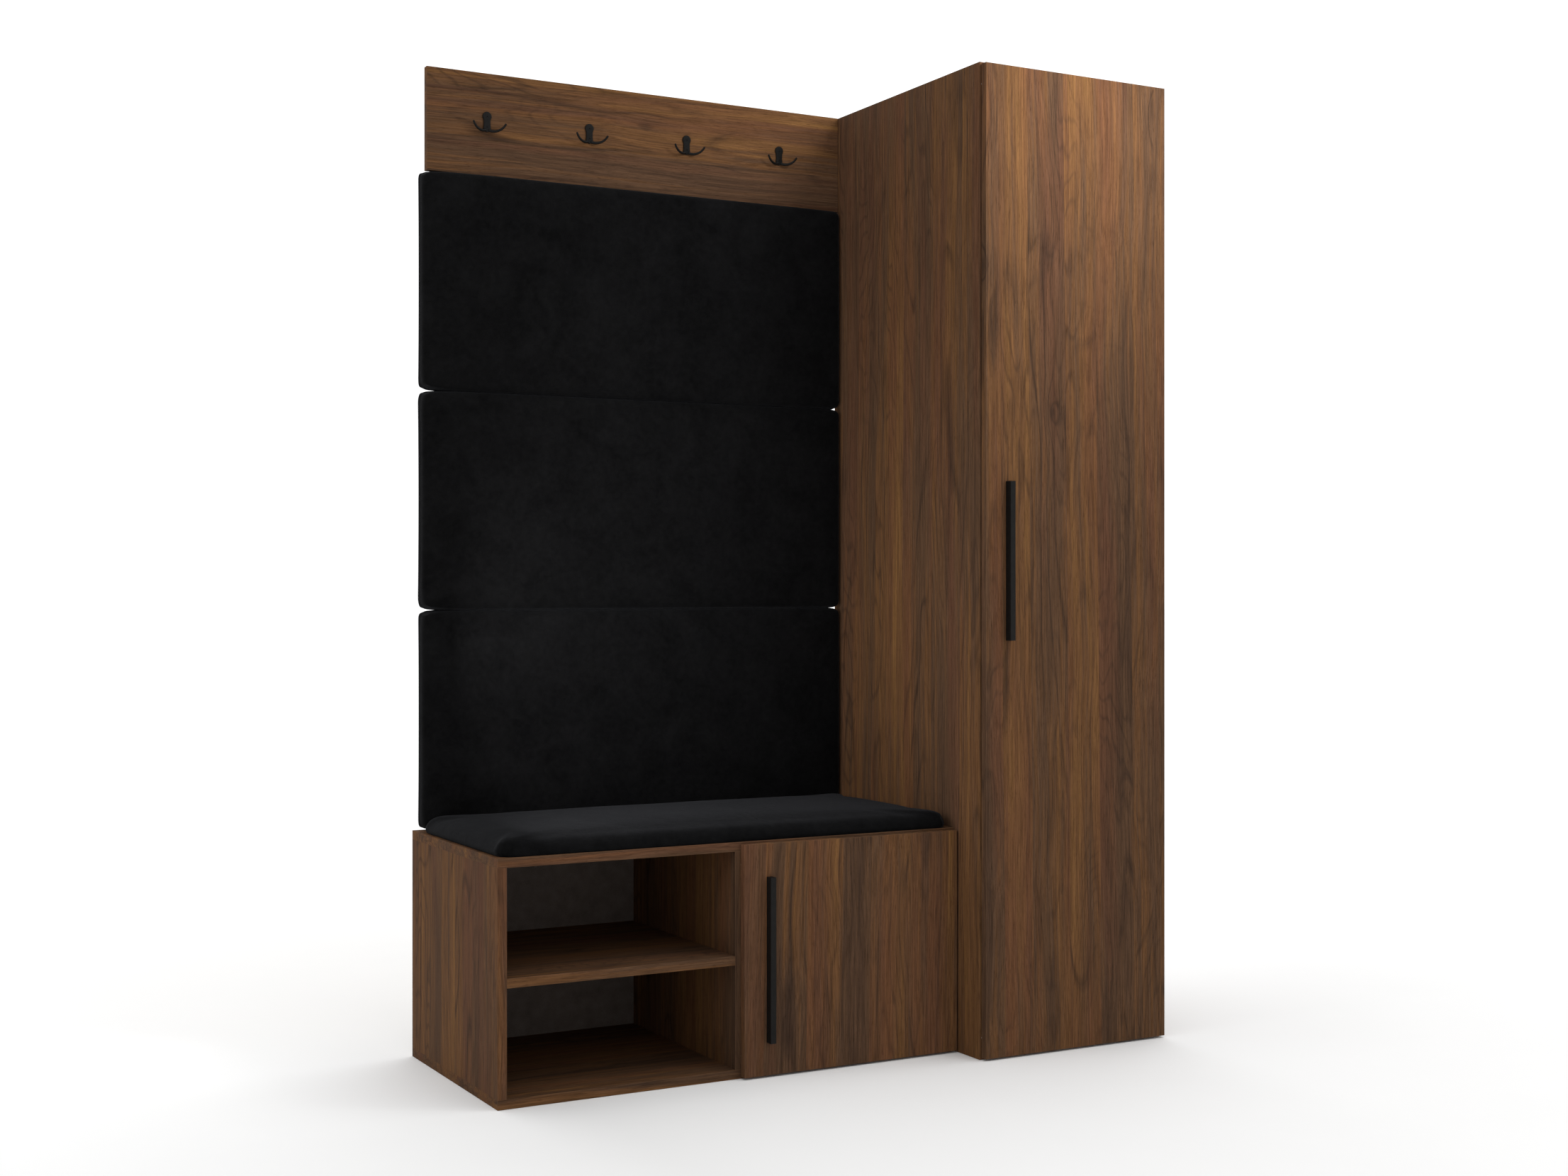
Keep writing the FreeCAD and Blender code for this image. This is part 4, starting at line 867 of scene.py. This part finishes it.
def hookPlate():
    deep, arris = coatHook["deep"], coatHook["arris"]
    levels = [(0, 0), (deep - arris, 0)]
    levels += [(deep - arris + arris * math.sin(t), arris * (1 - math.cos(t)))
               for t in (0.5, 1.0, math.pi / 2)]
    angles = [2 * math.pi * k / 72 for k in range(72)]
    plate = ringsMesh("plate", [[(plateReach(a, inset) * math.cos(a), -out,
                                  plateReach(a, inset) * math.sin(a)) for a in angles]
                                for out, inset in levels])
    hole = coatHook["holeRadius"]
    sinks = turnedMesh("sink", [(0.0018, -0.006), (0.0018, -coatHook["holeDeep"]),
                                (hole, 0), (hole, 0.002)], 28)
    sinks.transform(Matrix.Rotation(math.pi / 2, 4, "X"))
    both = []
    for rise in (coatHook["screwRise"], -coatHook["screwRise"]):
        sink = sinks.copy()
        sink.transform(Matrix.Translation((0, -deep, rise)))
        both.append(sink)
    return carved(plate, joined("sinks", both))


def hookProng(side):
    splay = math.radians(coatHook["splay"])
    path, radii = [], []
    steps = 26
    for step in range(steps + 1):
        share = step / steps
        angle = math.radians(coatHook["startAngle"] + coatHook["sweep"] * share)
        out = coatHook["centreOut"] + coatHook["bend"] * math.cos(angle)
        path.append((side * (coatHook["rootOut"] + out * math.cos(splay)),
                     -coatHook["rootForward"] - out * math.sin(splay),
                     coatHook["centreRise"] + coatHook["bend"] * math.sin(angle)))
        thick = coatHook["rootThickness"] + share * (
            coatHook["tipThickness"] - coatHook["rootThickness"])
        radii.append(thick)
    # a rounded tip
    way = (Vector(path[-1]) - Vector(path[-2])).normalized()
    tip = coatHook["tipThickness"]
    for share in (0.45, 0.75, 0.93, 1.0):
        path.append(tuple(Vector(path[steps]) + way * tip * share))
        radii.append(tip * math.sqrt(max(1 - share * share, 0.0004)))
    return wireMesh("prong", path, radii, 5)


hookMesh = joined("coatHook", [hookPlate(), hookProng(1), hookProng(-1)])
softenShading(hookMesh)
for number in (1, 2, 3, 4):
    low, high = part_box(f"coat_hook_{number}")
    mesh = hookMesh.copy()
    level = high.z - coatHook["headRise"] - coatHook["headRadius"]
    mesh.transform(Matrix.Translation(((low.x + high.x) / 2, high.y, level)))
    hook = newPiece(f"coatHook{number}", mesh, materials["black_metal"])
    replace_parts(hook, f"coat_hook_{number}")
print("coat hooks made")


# Screws: domed or sunk heads with a cross recess, one set for each CAD group of screws.
screwShape = {"sides": 20, "crossWide": 0.0009, "crossTaper": 0.55, "spread": 3.1, "seed": 11}
screwSets = {
    # node: (body, slot, way the heads point, head radius, head height, shank, sunk)
    "coat_hook_screws": ("cabinets", "black_metal", "front", 0.0034, 0.0018, 0.00175, True),
    "bench_cup_screws": ("bench_door", "zinc_steel", "back", 0.0034, 0.0018, 0.00175, False),
    "tall_cup_screws": ("tall_door", "zinc_steel", "back", 0.0034, 0.0018, 0.00175, False),
    "bench_handle_screws": ("bench_door", "zinc_steel", "back", 0.0038, 0.0024, 0.002, False),
    "tall_handle_screws": ("tall_door", "zinc_steel", "back", 0.0038, 0.0024, 0.002, False),
    "hinge_plate_screws": ("cabinets", "zinc_steel", "left", 0.0034, 0.0018, 0.00175, False),
    "wall_bracket_screws": ("cabinets", "zinc_steel", "down", 0.0034, 0.0018, 0.00175, False),
    "seat_screws": ("cabinets", "zinc_steel", "down", 0.0040, 0.0022, 0.002, False),
    "hanger_screws": ("cabinets", "zinc_steel", "back", 0.0026, 0.0010, 0.0015, True),
}
headTurns = {"front": Matrix.Rotation(math.pi / 2, 4, "X"),
             "back": Matrix.Rotation(-math.pi / 2, 4, "X"),
             "left": Matrix.Rotation(-math.pi / 2, 4, "Y"),
             "down": Matrix.Rotation(math.pi, 4, "X")}


def screwMesh(radius, height, shank, length, sunk):
    if sunk:
        profile = [(0.0001, -length), (shank, -length + 2 * shank), (shank, -height),
                   (radius, -0.0002), (radius, 0), (0.6 * radius, 0.00012), (0.0001, 0.00015)]
        top = 0.00015
    else:
        profile = [(0.0001, -length), (shank, -length + 2 * shank), (shank, 0), (radius, 0),
                   (radius, 0.35 * height), (0.93 * radius, 0.66 * height),
                   (0.66 * radius, 0.92 * height), (0.0001, height)]
        top = height
    screw = turnedMesh("screw", profile, screwShape["sides"])
    wide, arm = screwShape["crossWide"] / 2, 0.56 * radius
    corners = []
    for quarter in range(4):
        turn = Matrix.Rotation(quarter * math.pi / 2, 2)
        corners += [turn @ Vector(point) for point in ((wide, wide), (wide, arm), (-wide, arm))]
    taper = screwShape["crossTaper"]
    recess = ringsMesh("recess", [[(share * x, share * y, z) for x, y in corners]
                                  for share, z in ((taper, top - 0.6 * height),
                                                   (1, top + 0.0005))])
    return carved(screw, recess)


def looseParts(mesh):
    # the box of every separate solid of a CAD node
    whole = bmesh.new()
    whole.from_mesh(mesh)
    bmesh.ops.remove_doubles(whole, verts=whole.verts, dist=1e-6)
    left, boxes = set(whole.verts), []
    while left:
        edge, found = [left.pop()], []
        while edge:
            vert = edge.pop()
            found.append(vert.co.copy())
            for link in vert.link_edges:
                other = link.other_vert(vert)
                if other in left:
                    left.discard(other)
                    edge.append(other)
        boxes.append([Vector([pick(co[axis] for co in found) for axis in range(3)])
                      for pick in (min, max)])
    whole.free()
    return sorted(boxes, key=lambda box: tuple(round(c, 5) for c in box[0]))


screwTree = screwRow()
for number, (node, plan) in enumerate(screwSets.items()):
    body, slotName, out, radius, height, shank, sunk = plan
    turn = headTurns[out]
    way = turn @ Vector((0, 0, 1))
    seats, length = [], 0.0
    for low, high in looseParts(nodes[node].data):
        middle, size = (low + high) / 2, high - low
        length = abs(size.dot(way))
        # the seat is under a domed head and level with a sunk one
        seat = middle + way * (length / 2 - (0 if sunk else height))
        seats.append(turn.inverted() @ seat)
    shankLength = length - (0 if sunk else height)
    source = hiddenObject("screw", screwMesh(radius, height, shank, shankLength, sunk))
    host = bpy.data.meshes.new(node + ".seats")
    host.from_pydata(seats, [], [])
    mesh = grownMesh(screwTree, host, {
        "Fastener": source, "Finish": materials[slotName], "Turn": screwShape["spread"],
        "Seed": screwShape["seed"] + number})
    mesh.transform(turn)
    softenShading(mesh)
    name = "".join(word.capitalize() for word in node.split("_"))
    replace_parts(newPiece(name[0].lower() + name[1:], mesh, None, body), node)
print("screws and staples set")


# Camera, light and floor.
studio = {
    "cameraPlace": (-2.020, -3.6255, 0.950), "cameraYaw": 28.70, "lens": 46.28,
    "rise": -0.00145,
    "world": (0.95, 0.22, 0.21, 0.26),      # middle, towards +X, towards +Y, upwards
    "keyPlace": (0.72, -1.05, 2.35), "keyAim": (0.50, -0.30, 1.86), "keySize": 0.6,
    "keyPower": 4.8, "keySpread": 84,
    "sidePlace": (-0.66, -0.12, 0.87), "sideAim": (0.26, -0.12, 0.87), "sideSize": 0.7,
    "sidePower": 3.2, "sideSpread": 170,
    "floor": (0.95, 0.95, 0.948),
}


def areaLight(name):
    place, aim = studio[name + "Place"], studio[name + "Aim"]
    light = bpy.data.lights.new(name, "AREA")
    light.shape, light.size = "DISK", studio[name + "Size"]
    light.energy, light.spread = studio[name + "Power"], math.radians(studio[name + "Spread"])
    item = bpy.data.objects.new(name, light)
    item.location = place
    item.rotation_euler = (Vector(aim) - Vector(place)).to_track_quat("-Z", "Y").to_euler()
    item.visible_camera = item.visible_glossy = False
    bpy.context.scene.collection.objects.link(item)


def paleWorld():
    world = bpy.data.worlds.new("studio")
    world.use_nodes = True
    tree = world.node_tree
    way = addNode(tree, "ShaderNodeSeparateXYZ", {0: addNode(
        tree, "ShaderNodeTexCoord").outputs["Generated"]})
    level = studio["world"][0]
    for axis in range(3):
        level = calc(tree, "ADD", level, calc(
            tree, "MULTIPLY", way.outputs[axis], studio["world"][axis + 1]))
    tree.links.new(level, tree.nodes["Background"].inputs["Strength"])
    tree.nodes["Background"].inputs["Color"].default_value = (1, 1, 1, 1)
    bpy.context.scene.world = world


def paleFloor():
    made, tree, shader, place = newMaterial("paleFloor")
    mottle = noiseAt(tree, place, 3.0, 3.0, 0.5).outputs["Fac"]
    tree.links.new(ramp(tree, mottle, [(0.3, tuple(0.99 * c for c in studio["floor"])),
                                       (0.7, studio["floor"])]), shader.inputs["Base Color"])
    shader.inputs["Roughness"].default_value = 0.9
    shader.inputs["Specular IOR Level"].default_value = 0.1
    mesh = bpy.data.meshes.new("floor")
    mesh.from_pydata([(-60, -60, 0), (60, -60, 0), (60, 60, 0), (-60, 60, 0)], [],
                     [(0, 1, 2, 3)])
    mesh.materials.append(made)
    floor = bpy.data.objects.new("floor", mesh)
    bpy.context.scene.collection.objects.link(floor)
    floor.location.z = -0.0005


def setCamera():
    camera = bpy.data.objects.new("camera", bpy.data.cameras.new("camera"))
    camera.data.lens = studio["lens"]
    camera.data.sensor_width = 36
    camera.data.shift_y = studio["rise"]
    camera.data.clip_end = 200
    camera.location = studio["cameraPlace"]
    camera.rotation_euler = (math.pi / 2, 0, -math.radians(studio["cameraYaw"]))
    bpy.context.scene.collection.objects.link(camera)
    bpy.context.scene.camera = camera


paleWorld()
areaLight("key")
areaLight("side")
paleFloor()
setCamera()
bpy.context.scene.view_settings.view_transform = "Standard"
print("studio set")
